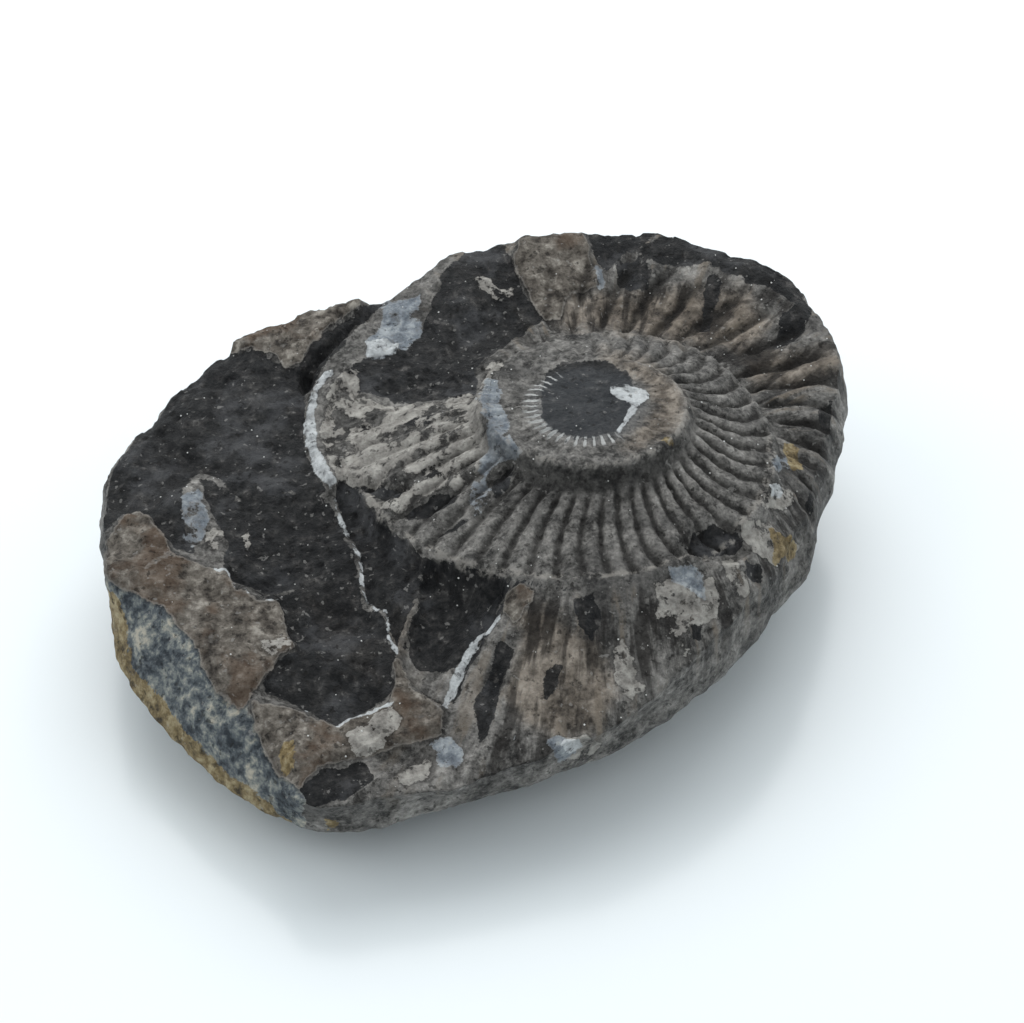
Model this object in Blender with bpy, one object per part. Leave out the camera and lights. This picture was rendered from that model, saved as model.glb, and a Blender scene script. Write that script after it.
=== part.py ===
"""Half of a split black stone nodule that keeps the impression of an ammonite.

The stone is one solid. Seen from above, the coil stands up as a stepped cone: a worn button in the
middle, a ribbed flank that winds down from it, and a ribbed trough beyond. The broken left side is
shale in ledges, and the underside is a worn pebble that rests on a small flat spot.

Lengths are in millimetres and MM turns them into Blender's metres. X is to the right and Y away from
the viewer. The shape is worked out about the coil's centre, and the solid's origin is the middle of
the flat spot below. A turn is counted clockwise from +X, the way the coil grows.
"""
import math

import bmesh
import bpy
import numpy as np

MM = 0.001

# Where the coil's centre is from the middle of the flat spot, and the spot's half width and depth.
COIL_CENTRE = (9.5, 0.5)
FLAT_SPOT = (8.0, 6.0)

BUTTON_HEIGHT = 23.0
SPIRAL_START = 7.28
WHORL_GROWTH = 2.116
RIBS_PER_TURN = 46
OUTER_RIBS_PER_TURN = 44
OUTER_RIB_DEPTH = 0.45
# How far a rib outside leans in a millimetre, as a share of a turn.
OUTER_RIB_LEAN = 0.0025
# Share of a turn against the share of the ribs passed, and against how far a rib bows on the flank.
RIB_SPACING = ((0.0, 0.0), (0.1, 0.093), (0.55, 0.582), (1.0, 1.0))
RIB_BOW = ((0.0, 0.017), (0.2, 0.013), (0.3, 0.006), (0.5, 0.004), (0.85, 0.017), (1.0, 0.017))
# How far the rib ends notch the coil's outer crest.
CREST_NOTCH = 0.3
# How far the upper edge is rounded down, and over what width.
EDGE_ROUNDING = 0.5
EDGE_WIDTH = 1.6

# Unevenness of the rock, as size, height and seed of each sort of lump.
LAND_LUMPS = ((9.0, 0.22, 1), (4.0, 0.05, 2))
LEDGE_LUMPS = ((2.2, 0.15, 3),)
RIM_LUMPS = ((7.0, 0.25, 4), (3.0, 0.1, 5))
SIDE_LUMPS = ((8.0, 0.25, 6), (3.5, 0.06, 7))
# How stiffly the ground's sheet smooths over its spot heights.
GROUND_STIFFNESS = 4.0

# The mesh that carries the shape, before it is thinned to the triangle budget.
COLUMNS = 480
TOP_RINGS = 110
SIDE_RINGS = 14
UNDER_RINGS = 26
TRIANGLES = 9600
# Points this close to the ground belong to the flat spot.
FLAT_TOLERANCE = 0.03

# The stone's edge, clockwise from the right: x, y and height of the upper edge, then of the belly.
OUTLINE = (
    (21.5, 8.7, 16.2, 22.8, 9.2, 12.5), (19.9, 1.9, 15.8, 21.3, 2.0, 11.4),
    (18.1, -5.4, 15.4, 19.1, -5.5, 10.5), (16.0, -10.5, 15.1, 16.6, -10.7, 9.7),
    (13.8, -15.0, 14.7, 13.9, -15.0, 9.1), (11.3, -18.3, 14.1, 11.3, -18.3, 8.5),
    (8.3, -21.9, 13.3, 8.1, -21.7, 7.9), (4.2, -26.2, 12.2, 3.6, -25.4, 7.1),
    (0.2, -29.2, 11.3, -0.4, -27.8, 6.6), (-4.7, -31.5, 10.5, -5.1, -29.9, 6.1),
    (-9.7, -33.5, 10.0, -9.8, -31.5, 5.5), (-14.7, -35.1, 9.6, -14.5, -33.0, 5.0),
    (-19.2, -36.3, 9.4, -18.9, -34.7, 4.7), (-23.1, -37.0, 9.4, -22.4, -35.0, 4.5),
    (-26.0, -35.8, 9.8, -25.4, -34.4, 4.3), (-28.3, -31.8, 10.5, -28.8, -32.7, 4.4),
    (-31.2, -27.6, 11.2, -32.7, -29.4, 4.8), (-34.1, -22.8, 11.8, -36.9, -25.2, 5.5),
    (-36.7, -18.3, 12.3, -40.5, -20.5, 6.5), (-39.8, -14.9, 12.8, -42.7, -16.1, 7.6),
    (-42.8, -13.0, 13.2, -43.5, -13.1, 8.5), (-43.9, -8.5, 13.4, -44.1, -8.6, 9.8),
    (-44.6, -3.5, 13.8, -44.9, -3.5, 10.7), (-43.6, 2.8, 14.5, -44.8, 2.9, 9.6),
    (-41.1, 7.7, 15.0, -42.2, 8.1, 9.9), (-37.8, 12.9, 15.5, -38.8, 13.5, 10.2),
    (-34.3, 16.8, 16.0, -35.2, 17.6, 10.6), (-29.3, 19.7, 16.5, -30.0, 20.7, 10.9),
    (-25.1, 21.8, 17.5, -25.6, 22.9, 11.6), (-21.8, 22.1, 18.0, -22.3, 23.2, 11.9),
    (-18.9, 22.4, 18.5, -19.3, 23.5, 12.2), (-16.6, 24.4, 19.0, -16.8, 25.6, 12.5),
    (-14.5, 26.5, 19.5, -14.7, 27.7, 12.9), (-11.4, 27.8, 20.0, -11.4, 29.0, 13.2),
    (-7.1, 28.2, 20.5, -7.0, 29.4, 13.5), (-1.4, 29.0, 20.6, -1.0, 30.2, 13.6),
    (4.8, 29.7, 20.5, 5.4, 30.8, 13.5), (9.1, 28.8, 20.2, 9.8, 29.8, 13.3),
    (13.4, 27.2, 19.8, 14.1, 28.2, 13.1), (17.5, 24.5, 19.2, 18.4, 25.3, 12.7),
    (20.3, 20.8, 18.3, 21.3, 21.5, 12.1), (22.0, 16.5, 17.4, 23.0, 17.1, 11.5),
    (22.3, 12.8, 16.7, 23.4, 13.3, 11.1),
)

# Heights of the ground round the cone, as spots: direction in degrees, distance and height.
SPOTS = (
    (162, 14.0, 18.4), (160, 20.0, 17.4), (148, 25.0, 17.4), (135, 14.0, 18.6), (130, 19.5, 17.6),
    (118, 25.0, 18.8), (105, 15.0, 18.5), (102, 20.0, 17.8), (98, 25.5, 19.4), (78, 15.2, 18.1),
    (75, 20.0, 17.4), (74, 25.5, 19.0), (50, 16.0, 17.4), (50, 20.0, 16.8), (50, 25.5, 18.3),
    (26, 17.0, 16.6), (25, 20.5, 16.4), (4, 17.6, 16.2), (-20, 17.6, 16.7), (-45, 18.4, 16.7),
    (-66, 19.6, 16.6), (-90, 20.4, 16.8), (-92, 24.5, 14.2), (-103, 20.8, 16.8), (-106, 27.0, 13.0),
    (-113, 21.0, 16.2), (-119, 25.0, 14.0), (-120, 28.5, 12.3), (-135, 22.4, 15.3),
    (-150, 23.2, 14.7), (-160, 24.0, 14.6), (-138, 27.5, 13.4), (-140, 33.5, 12.3), (-150, 30.0, 13.5),
    (-124, 33.5, 11.0), (-152, 37.0, 12.7), (-170, 27.0, 15.2), (-172, 35.0, 14.4), (172, 29.0, 15.9),
    (168, 36.0, 15.2), (152, 31.0, 16.9),
)

# Along the coil: turn, height of the crest, drop of the wall just outside it, depth of the ribs.
COIL = (
    (-1.4, 23.0, 0.0, 0.0), (-1.1, 23.0, 0.1, 0.1), (-0.45, 22.9, 0.15, 0.14), (-0.3, 22.9, 0.3, 0.2),
    (-0.1, 23.0, 0.9, 0.4), (0.05, 23.1, 1.3, 0.5), (0.15, 23.1, 2.0, 0.45),
    (0.36, 23.1, 2.1, 0.4), (0.47, 23.0, 1.2, 0.3), (0.56, 22.2, 0.8, 0.15),
    (0.63, 21.3, 0.8, 0.0), (0.75, 20.9, 0.8, 0.0), (0.84, 20.8, 0.8, 0.0), (0.9, 20.2, 0.8, 0.0),
    (0.96, 19.0, 0.8, 0.0), (1.02, 18.6, 0.8, 0.0), (1.15, 18.5, 0.8, 0.0), (1.25, 18.4, 0.8, 0.0),
    (1.34, 18.0, 0.8, 0.0), (1.42, 16.9, 0.8, 0.0), (1.56, 16.2, 0.8, 0.0),
)
WALL_WIDTH = 1.1
# The flank ends on the left, between these shares of a turn.
FLANK_END = (0.50, 0.60)

# Strength of the ribs outside the cone: share of a turn and strength.
OUTER_RIBS = (
    (0.0, 1.0), (0.08, 0.8), (0.12, 0.5), (0.26, 0.5), (0.3, 0.0), (0.66, 0.0), (0.76, 1.0), (1.0, 1.0),
)

# Layers and hollows of the broken surface: lift, width of the edge, and the outline's corners.
LEDGES = {
    "pale flake": (0.8, 0.5, (
        (-37.8, -10.0), (-34.2, -11.5), (-32.7, -12.1), (-32.0, -14.3), (-28.2, -15.3), (-27.0, -20.0),
        (-26.1, -21.3), (-29.2, -24.4), (-30.1, -26.3), (-34.0, -25.5), (-38.5, -18.0), (-42.0, -14.0),
    )),
    "front layer": (0.7, 0.5, (
        (-30.1, -26.3), (-25.4, -27.3), (-22.8, -29.1), (-18.0, -26.8), (-18.1, -22.8), (-16.4, -25.5),
        (-13.4, -27.9), (-13.9, -30.0), (-18.5, -31.5), (-25.9, -34.0), (-29.0, -31.0),
    )),
    "front facet": (-0.9, 0.6, (
        (-15.4, -14.0), (-7.6, -18.1), (-8.9, -19.5), (-11.4, -23.1), (-13.5, -27.3), (-15.2, -26.5),
        (-17.4, -22.2), (-16.2, -18.0),
    )),
    "long facet": (-0.5, 0.6, (
        (-23.2, -2.6), (-20.9, -6.2), (-15.8, -13.5), (-16.0, -16.4), (-17.7, -21.5), (-18.8, -17.9),
        (-20.5, -16.4), (-21.2, -12.0), (-23.7, -4.6),
    )),
    "back flake": (0.5, 0.5, (
        (-7.1, 28.6), (-0.9, 29.0), (0.5, 24.6), (0.2, 22.8), (-2.0, 22.6), (-3.4, 19.1), (-4.8, 19.3),
        (-7.9, 25.5),
    )),
    "left rim patch": (0.6, 0.5, (
        (-35.0, 17.6), (-28.8, 21.0), (-21.7, 22.4), (-26.7, 16.0), (-27.5, 13.6), (-28.9, 13.5),
        (-30.7, 15.8),
    )),
    "pale arc": (0.6, 0.6, (
        (-23.0, 12.0), (-25.4, 11.4), (-26.6, 8.3), (-26.6, 3.0), (-24.1, -4.0), (-23.0, -3.0),
        (-24.9, 2.7), (-24.8, 7.4), (-22.8, 10.3),
    )),
    "cleft": (-1.5, 1.0, (
        (-20.4, 21.4), (-21.4, 19.6), (-25.9, 13.3), (-27.0, 9.5), (-27.4, 11.6), (-26.3, 14.2),
        (-23.6, 18.2), (-21.4, 21.4),
    )),
    "end block": (0.6, 0.5, (
        (-46.0, -8.5), (-42.4, -5.2), (-40.1, -5.6), (-37.6, -10.1), (-39.6, -11.7), (-41.2, -15.0),
        (-44.0, -14.5),
    )),
    "pit": (-1.3, 1.2, (
        (6.2, -14.9), (7.7, -12.6), (9.7, -11.6), (11.9, -12.0), (12.5, -13.0), (11.4, -14.2), (8.7, -15.6),
    )),
    "left crust": (0.3, 0.4, (
        (-22.3, -3.5), (-24.4, 3.9), (-24.1, 8.6), (-16.2, 3.8), (-11.7, 5.2), (-9.8, -3.4), (-8.1, -6.6),
        (-10.1, -9.9), (-15.0, -10.6), (-17.7, -7.3),
    )),
    "upper hollow": (-0.6, 0.6, ((-22.0, -3.3), (-17.8, -5.7), (-16.2, -6.9), (-20.0, -6.0))),
    "lower hollow": (-0.6, 0.6, ((-17.6, -9.0), (-14.2, -7.7), (-12.4, -8.2), (-15.0, -10.0))),
}


def smooth(low, high, value):
    """0 below low, 1 above high, and an even curve between."""
    share = np.clip((value - low) / (high - low), 0, 1)
    return share * share * (3 - 2 * share)


def along_coil(turn, column):
    """A column of COIL read at a turn."""
    return np.interp(turn, [row[0] for row in COIL], [row[column] for row in COIL])


def closed_curve(points, count):
    """Count points on the smooth closed curve through the given ones, evenly spaced along it."""
    points = np.asarray(points, float)
    before = np.roll(points, 1, axis=0)
    after = np.roll(points, -1, axis=0)
    later = np.roll(points, -2, axis=0)
    fine = []
    for share in np.arange(0, 1, 1 / 24):
        square, cube = share ** 2, share ** 3
        fine.append(
            points + 0.5 * (after - before) * share
            + (before - 2.5 * points + 2 * after - 0.5 * later) * square
            + 0.5 * (3 * points - before - 3 * after + later) * cube
        )
    fine = np.stack(fine, axis=1).reshape(-1, points.shape[1])
    looped = np.vstack([fine, fine[:1]])
    lengths = np.hypot(*np.diff(looped[:, :2], axis=0).T)
    travelled = np.concatenate([[0], np.cumsum(lengths)])
    wanted = np.linspace(0, travelled[-1], count, endpoint=False)
    return np.stack([np.interp(wanted, travelled, column) for column in looped.T], axis=1)


def crest_radius(turn):
    return SPIRAL_START * WHORL_GROWTH ** turn


def ground(x, y):
    """The surface round the cone: the smoothest sheet through the upper edge and the spots."""
    points = [row[:2] for row in OUTLINE]
    heights = [row[2] for row in OUTLINE]
    for degrees, distance, height in SPOTS:
        angle = math.radians(degrees)
        points.append((distance * math.cos(angle), distance * math.sin(angle)))
        heights.append(height)
    points = np.asarray(points)
    count = len(points)

    def bend(squared):
        return squared * np.log(squared + 1e-9)

    system = np.zeros((count + 3, count + 3))
    system[:count, :count] = bend(((points[:, None] - points[None]) ** 2).sum(2))
    system[:count, :count] += GROUND_STIFFNESS * np.eye(count)
    system[:count, count] = 1
    system[count, :count] = 1
    system[:count, count + 1:] = points
    system[count + 1:, :count] = points.T
    weights = np.linalg.solve(system, np.append(heights, [0, 0, 0]))
    sheet = weights[count] + weights[count + 1] * x + weights[count + 2] * y
    for (px, py), weight in zip(points, weights):
        sheet = sheet + weight * bend((x - px) ** 2 + (y - py) ** 2)
    return sheet


def lumps(points, size, seed):
    """Even lumps of about this size, between about -1 and 1."""
    chance = np.random.default_rng(seed)
    total = np.zeros(len(points))
    for _ in range(12):
        direction = chance.normal(size=points.shape[1])
        direction *= chance.uniform(0.7, 1.4) / (size * np.linalg.norm(direction))
        total += np.sin(2 * math.pi * (points @ direction + chance.uniform()))
    return total / 4


def uneven(points, sorts):
    """The heights of several sorts of lump, added."""
    return sum(height * lumps(points, size, seed) for size, height, seed in sorts)


def inside_distance(x, y, corners):
    """Distance to an outline, positive inside it."""
    nearest = np.full(x.shape, np.inf)
    inside = np.zeros(x.shape, bool)
    for (ax, ay), (bx, by) in zip(corners, corners[1:] + corners[:1]):
        share = ((x - ax) * (bx - ax) + (y - ay) * (by - ay)) / ((bx - ax) ** 2 + (by - ay) ** 2)
        share = np.clip(share, 0, 1)
        nearest = np.minimum(nearest, np.hypot(x - ax - share * (bx - ax), y - ay - share * (by - ay)))
        if ay != by:
            inside ^= ((ay > y) != (by > y)) & (x < ax + (bx - ax) * (y - ay) / (by - ay))
    return np.where(inside, nearest, -nearest)


def rib_wave(turn, ribs):
    """Round ribs with narrow grooves between them, from -1 in a groove to 0 on a rib."""
    wave = 0.5 + 0.5 * np.cos(2 * math.pi * ribs * turn)
    return -(1 - wave) ** 1.6


def top(x, y):
    """Height of the upper surface."""
    phase = (-np.arctan2(y, x) / (2 * math.pi)) % 1.0
    plain_radius = np.hypot(x, y)
    spaced = np.interp(phase, *zip(*RIB_SPACING))
    ribs = rib_wave(spaced, RIBS_PER_TURN)
    radius = plain_radius - CREST_NOTCH * smooth(10, 14, plain_radius) * ribs
    along = np.log(np.maximum(radius, 0.01) / SPIRAL_START) / math.log(WHORL_GROWTH)
    turn = phase + np.minimum(np.floor(along - phase), 0)
    inner = turn < 0
    start = crest_radius(turn)
    end = crest_radius(turn + 1)
    high = along_coil(turn, 1)
    foot = high - along_coil(turn, 2)
    share = np.clip((radius - start) / (end - start), 0, 1)
    bow = np.interp(phase, *zip(*RIB_BOW))
    ribs = rib_wave(spaced - bow * 4 * share * (1 - share), RIBS_PER_TURN)
    flank = foot + (along_coil(turn + 1, 1) - foot) * share
    grooved = smooth(0.3, 2.0, radius - start) * smooth(-0.2, 0.3, end - radius)
    flank = flank + along_coil(turn, 3) * grooved * ribs

    last_turn = np.where(phase < sum(FLANK_END) / 2, phase + 1, phase)
    outside = radius - crest_radius(last_turn)
    strength = np.interp(phase, *zip(*OUTER_RIBS)) * smooth(1.0, 3.0, outside)
    strength = strength * (1 - smooth(24.0, 29.0, radius))
    leaning = phase - OUTER_RIB_LEAN * outside
    land = ground(x, y) + OUTER_RIB_DEPTH * strength * rib_wave(leaning, OUTER_RIBS_PER_TURN)
    spots = np.column_stack([x, y])
    land = land + uneven(spots, LAND_LUMPS)

    beyond = np.maximum(smooth(*FLANK_END, phase), smooth(0.0, 0.8, radius - end))
    base = np.where(inner, flank, flank + (land - flank) * beyond)
    height = high + (base - high) * smooth(0, WALL_WIDTH, radius - start)
    ragged = uneven(spots, LEDGE_LUMPS)
    for lift, width, corners in LEDGES.values():
        height = height + lift * smooth(-width / 2, width / 2, inside_distance(x, y, corners) + ragged)
    return height


def body_rings():
    """Rings of points from the coil's centre over the edge and down to the flat spot."""
    edge = closed_curve(OUTLINE, COLUMNS)
    rim, belly = edge[:, :3], edge[:, 3:]
    middle = np.array([-COIL_CENTRE[0], -COIL_CENTRE[1]])
    outward = rim[:, :2] - middle
    outward = outward / np.linalg.norm(outward, axis=1)[:, None]
    rim[:, :2] += outward * uneven(rim, RIM_LUMPS)[:, None]
    reach = np.hypot(rim[:, 0], rim[:, 1])
    rings = []
    for step in range(1, TOP_RINGS + 1):
        share = step / TOP_RINGS
        plan = rim[:, :2] * share
        rounding = EDGE_ROUNDING * (1 - smooth(0, EDGE_WIDTH, reach * (1 - share)))
        rings.append(np.column_stack([plan, top(plan[:, 0], plan[:, 1]) - rounding]))
    brow = rings[-1]
    bulge = (belly[:, :2] - brow[:, :2]) * 0.25
    shoulder = (brow + belly) / 2 + np.column_stack([bulge, np.full(COLUMNS, 0.5)])
    for step in range(1, SIDE_RINGS + 1):
        share = step / SIDE_RINGS
        rings.append(brow * (1 - share) ** 2 + shoulder * 2 * share * (1 - share) + belly * share ** 2)
    angle = np.arctan2(belly[:, 1] - middle[1], belly[:, 0] - middle[0])
    spot = np.column_stack([FLAT_SPOT[0] * np.cos(angle), FLAT_SPOT[1] * np.sin(angle)]) + middle
    flat = np.column_stack([spot, np.zeros(COLUMNS)])
    sink = np.column_stack([belly[:, :2] * 0.97 + middle * 0.03, belly[:, 2] * 0.38])
    lead = np.column_stack([(belly[:, :2] + spot) / 2, np.zeros(COLUMNS)])
    for step in range(1, UNDER_RINGS + 1):
        share = step / UNDER_RINGS
        rest = 1 - share
        rings.append(
            belly * rest ** 3 + sink * 3 * share * rest ** 2
            + lead * 3 * share ** 2 * rest + flat * share ** 3
        )
    for step, ring in enumerate(rings[TOP_RINGS:-1], 1):
        fade = smooth(0, 4, step) * smooth(0, 8, len(rings) - TOP_RINGS - 1 - step)
        ring[:, :2] += outward * (fade * uneven(ring, SIDE_LUMPS))[:, None]
    return rings


def full_mesh():
    """A sphere's rows of points, laid over the stone's form."""
    rings = body_rings()
    mesh = bmesh.new()
    bmesh.ops.create_uvsphere(mesh, u_segments=COLUMNS, v_segments=len(rings) + 1, radius=1.0)
    rows = {}
    for vert in mesh.verts:
        rows.setdefault(round(vert.co.z, 6), []).append(vert)
    ordered = [rows[level] for level in sorted(rows, reverse=True)]
    shift = np.array([COIL_CENTRE[0], COIL_CENTRE[1], 0.0])
    ordered[0][0].co = (np.array([0, 0, BUTTON_HEIGHT]) + shift) * MM
    ordered[-1][0].co = (0, 0, 0)
    for ring, row in zip(rings, ordered[1:-1]):
        row.sort(key=lambda vert: -math.atan2(vert.co.y, vert.co.x))
        for place, vert in zip((ring + shift) * MM, row):
            vert.co = place
    data = bpy.data.meshes.new("full stone")
    mesh.to_mesh(data)
    mesh.free()
    return data


def thinned(data):
    """The same form in fewer triangles, with the flat spot made exactly flat."""
    full = bpy.data.objects.new("full stone", data)
    bpy.context.scene.collection.objects.link(full)
    thin = full.modifiers.new("thin to the budget", "DECIMATE")
    thin.ratio = TRIANGLES / (2 * COLUMNS * (TOP_RINGS + SIDE_RINGS + UNDER_RINGS))
    view = bpy.context.evaluated_depsgraph_get()
    stone = bpy.data.meshes.new_from_object(full.evaluated_get(view))
    bpy.data.objects.remove(full, do_unlink=True)
    mesh = bmesh.new()
    mesh.from_mesh(stone)
    low = [vert for vert in mesh.verts if vert.co.z < FLAT_TOLERANCE * MM]
    for vert in low:
        vert.co.z = 0.0
    flat = [face for face in mesh.faces if all(vert.co.z == 0.0 for vert in face.verts)]
    bmesh.ops.dissolve_faces(mesh, faces=flat)
    mesh.to_mesh(stone)
    mesh.free()
    return stone


def stone_material():
    material = bpy.data.materials.new("black shale")
    material.use_nodes = True
    surface = material.node_tree.nodes["Principled BSDF"]
    surface.inputs["Base Color"].default_value = (0.09, 0.085, 0.08, 1.0)
    surface.inputs["Roughness"].default_value = 0.55
    surface.inputs["Metallic"].default_value = 0.0
    return material


def main():
    for old in list(bpy.data.objects):
        bpy.data.objects.remove(old, do_unlink=True)
    collection = bpy.data.collections.new("shaligram_ammonite_fossil")
    bpy.context.scene.collection.children.link(collection)
    stone = bpy.data.objects.new("ammonite_fossil", thinned(full_mesh()))
    stone.data.name = "ammonite_fossil"
    stone.data.materials.append(stone_material())
    collection.objects.link(stone)


if __name__ == "__main__":
    main()
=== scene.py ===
"""The looks of half a split black stone nodule with the impression of an ammonite.

The stone's form is worked out in millimetres about the coil's centre, as in the solid, on a finer
mesh. Geometry Nodes raise the ribs, the thin crusts and the grain, and strew the white grains. The
patches of colour are outlines in pixels of the photo, which is 1024 by 1023 pixels, seen from the
same camera, and they become distances in millimetres that one rock material reads.
"""
import math

import bpy
import numpy as np
from bpy.props import FloatProperty, FloatVectorProperty, IntProperty, PointerProperty
from mathutils import Matrix, Vector


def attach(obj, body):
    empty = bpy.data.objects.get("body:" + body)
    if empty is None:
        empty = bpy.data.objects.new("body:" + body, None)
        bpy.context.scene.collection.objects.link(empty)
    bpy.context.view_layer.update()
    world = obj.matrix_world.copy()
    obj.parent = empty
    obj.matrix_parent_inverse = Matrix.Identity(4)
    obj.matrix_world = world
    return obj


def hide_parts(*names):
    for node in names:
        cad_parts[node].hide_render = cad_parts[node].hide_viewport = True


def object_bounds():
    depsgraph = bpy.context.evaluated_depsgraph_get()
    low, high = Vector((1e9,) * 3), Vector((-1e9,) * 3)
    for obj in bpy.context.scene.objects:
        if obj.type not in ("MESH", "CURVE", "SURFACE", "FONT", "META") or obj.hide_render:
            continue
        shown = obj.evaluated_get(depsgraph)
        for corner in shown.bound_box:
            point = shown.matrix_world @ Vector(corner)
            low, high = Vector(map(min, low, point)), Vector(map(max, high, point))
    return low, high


bl_info = {
    "name": "Shaligram Ammonite Fossil",
    "version": (1, 0, 0),
    "blender": (4, 5, 0),
    "location": "View3D > Sidebar > Fossil",
    "description": "Builds a split stone nodule with the impression of an ammonite",
    "category": "Add Mesh",
}

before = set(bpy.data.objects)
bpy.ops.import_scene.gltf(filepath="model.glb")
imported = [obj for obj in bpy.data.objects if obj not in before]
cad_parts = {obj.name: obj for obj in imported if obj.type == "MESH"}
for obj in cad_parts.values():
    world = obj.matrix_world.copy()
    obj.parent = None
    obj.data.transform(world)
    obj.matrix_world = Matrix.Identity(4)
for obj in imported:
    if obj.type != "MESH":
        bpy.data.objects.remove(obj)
SOLID_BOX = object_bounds()

MM = 0.001
STONE_NODE = "ammonite_fossil"

# The photo's camera: tilt down, distance and scale at the coil's centre, and where that is in pixels.
CAMERA_TILT = math.radians(40)
CAMERA_DISTANCE = 300.0
MM_PER_PIXEL = 0.0885
FOCAL_PIXELS = CAMERA_DISTANCE / MM_PER_PIXEL
COIL_PIXEL = (601.0, 400.0)
PHOTO_CENTRE = (512.0, 511.5)
SENSOR_WIDTH = 36.0

# Where the coil's centre is from the middle of the flat spot, and the spot's half width and depth.
COIL_CENTRE = (9.5, 0.5)
FLAT_SPOT = (8.0, 6.0)
BUTTON_HEIGHT = 23.0
SPIRAL_START = 7.28
WHORL_GROWTH = 2.116
RIBS_PER_TURN = 46
OUTER_RIBS_PER_TURN = 44
OUTER_RIB_DEPTH = 0.45
# How far a rib outside leans in a millimetre, as a share of a turn.
OUTER_RIB_LEAN = 0.0025
# Share of a turn against the share of the ribs passed, and against how far a rib bows on the flank.
RIB_SPACING = ((0.0, 0.0), (0.1, 0.093), (0.55, 0.582), (1.0, 1.0))
RIB_BOW = ((0.0, 0.017), (0.2, 0.013), (0.3, 0.006), (0.5, 0.004), (0.85, 0.017), (1.0, 0.017))
CREST_NOTCH = 0.3
EDGE_ROUNDING = 0.5
EDGE_WIDTH = 1.6

# Unevenness of the rock, as size, height and seed of each sort of lump.
LAND_LUMPS = ((9.0, 0.22, 1), (4.0, 0.05, 2))
LEDGE_LUMPS = ((2.2, 0.15, 3),)
RIM_LUMPS = ((7.0, 0.25, 4), (3.0, 0.1, 5))
SIDE_LUMPS = ((8.0, 0.25, 6), (3.5, 0.06, 7))
GROUND_STIFFNESS = 4.0

# The stone's edge, clockwise from the right: x, y and height of the upper edge, then of the belly.
OUTLINE = (
    (21.5, 8.7, 16.2, 22.8, 9.2, 12.5), (19.9, 1.9, 15.8, 21.3, 2.0, 11.4),
    (18.1, -5.4, 15.4, 19.1, -5.5, 10.5), (16.0, -10.5, 15.1, 16.6, -10.7, 9.7),
    (13.8, -15.0, 14.7, 13.9, -15.0, 9.1), (11.3, -18.3, 14.1, 11.3, -18.3, 8.5),
    (8.3, -21.9, 13.3, 8.1, -21.7, 7.9), (4.2, -26.2, 12.2, 3.6, -25.4, 7.1),
    (0.2, -29.2, 11.3, -0.4, -27.8, 6.6), (-4.7, -31.5, 10.5, -5.1, -29.9, 6.1),
    (-9.7, -33.5, 10.0, -9.8, -31.5, 5.5), (-14.7, -35.1, 9.6, -14.5, -33.0, 5.0),
    (-19.2, -36.3, 9.4, -18.9, -34.7, 4.7), (-23.1, -37.0, 9.4, -22.4, -35.0, 4.5),
    (-26.0, -35.8, 9.8, -25.4, -34.4, 4.3), (-28.3, -31.8, 10.5, -28.8, -32.7, 4.4),
    (-31.2, -27.6, 11.2, -32.7, -29.4, 4.8), (-34.1, -22.8, 11.8, -36.9, -25.2, 5.5),
    (-36.7, -18.3, 12.3, -40.5, -20.5, 6.5), (-39.8, -14.9, 12.8, -42.7, -16.1, 7.6),
    (-42.8, -13.0, 13.2, -43.5, -13.1, 8.5), (-43.9, -8.5, 13.4, -44.1, -8.6, 9.8),
    (-44.6, -3.5, 13.8, -44.9, -3.5, 10.7), (-43.6, 2.8, 14.5, -44.8, 2.9, 9.6),
    (-41.1, 7.7, 15.0, -42.2, 8.1, 9.9), (-37.8, 12.9, 15.5, -38.8, 13.5, 10.2),
    (-34.3, 16.8, 16.0, -35.2, 17.6, 10.6), (-29.3, 19.7, 16.5, -30.0, 20.7, 10.9),
    (-25.1, 21.8, 17.5, -25.6, 22.9, 11.6), (-21.8, 22.1, 18.0, -22.3, 23.2, 11.9),
    (-18.9, 22.4, 18.5, -19.3, 23.5, 12.2), (-16.6, 24.4, 19.0, -16.8, 25.6, 12.5),
    (-14.5, 26.5, 19.5, -14.7, 27.7, 12.9), (-11.4, 27.8, 20.0, -11.4, 29.0, 13.2),
    (-7.1, 28.2, 20.5, -7.0, 29.4, 13.5), (-1.4, 29.0, 20.6, -1.0, 30.2, 13.6),
    (4.8, 29.7, 20.5, 5.4, 30.8, 13.5), (9.1, 28.8, 20.2, 9.8, 29.8, 13.3),
    (13.4, 27.2, 19.8, 14.1, 28.2, 13.1), (17.5, 24.5, 19.2, 18.4, 25.3, 12.7),
    (20.3, 20.8, 18.3, 21.3, 21.5, 12.1), (22.0, 16.5, 17.4, 23.0, 17.1, 11.5),
    (22.3, 12.8, 16.7, 23.4, 13.3, 11.1),
)

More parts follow.
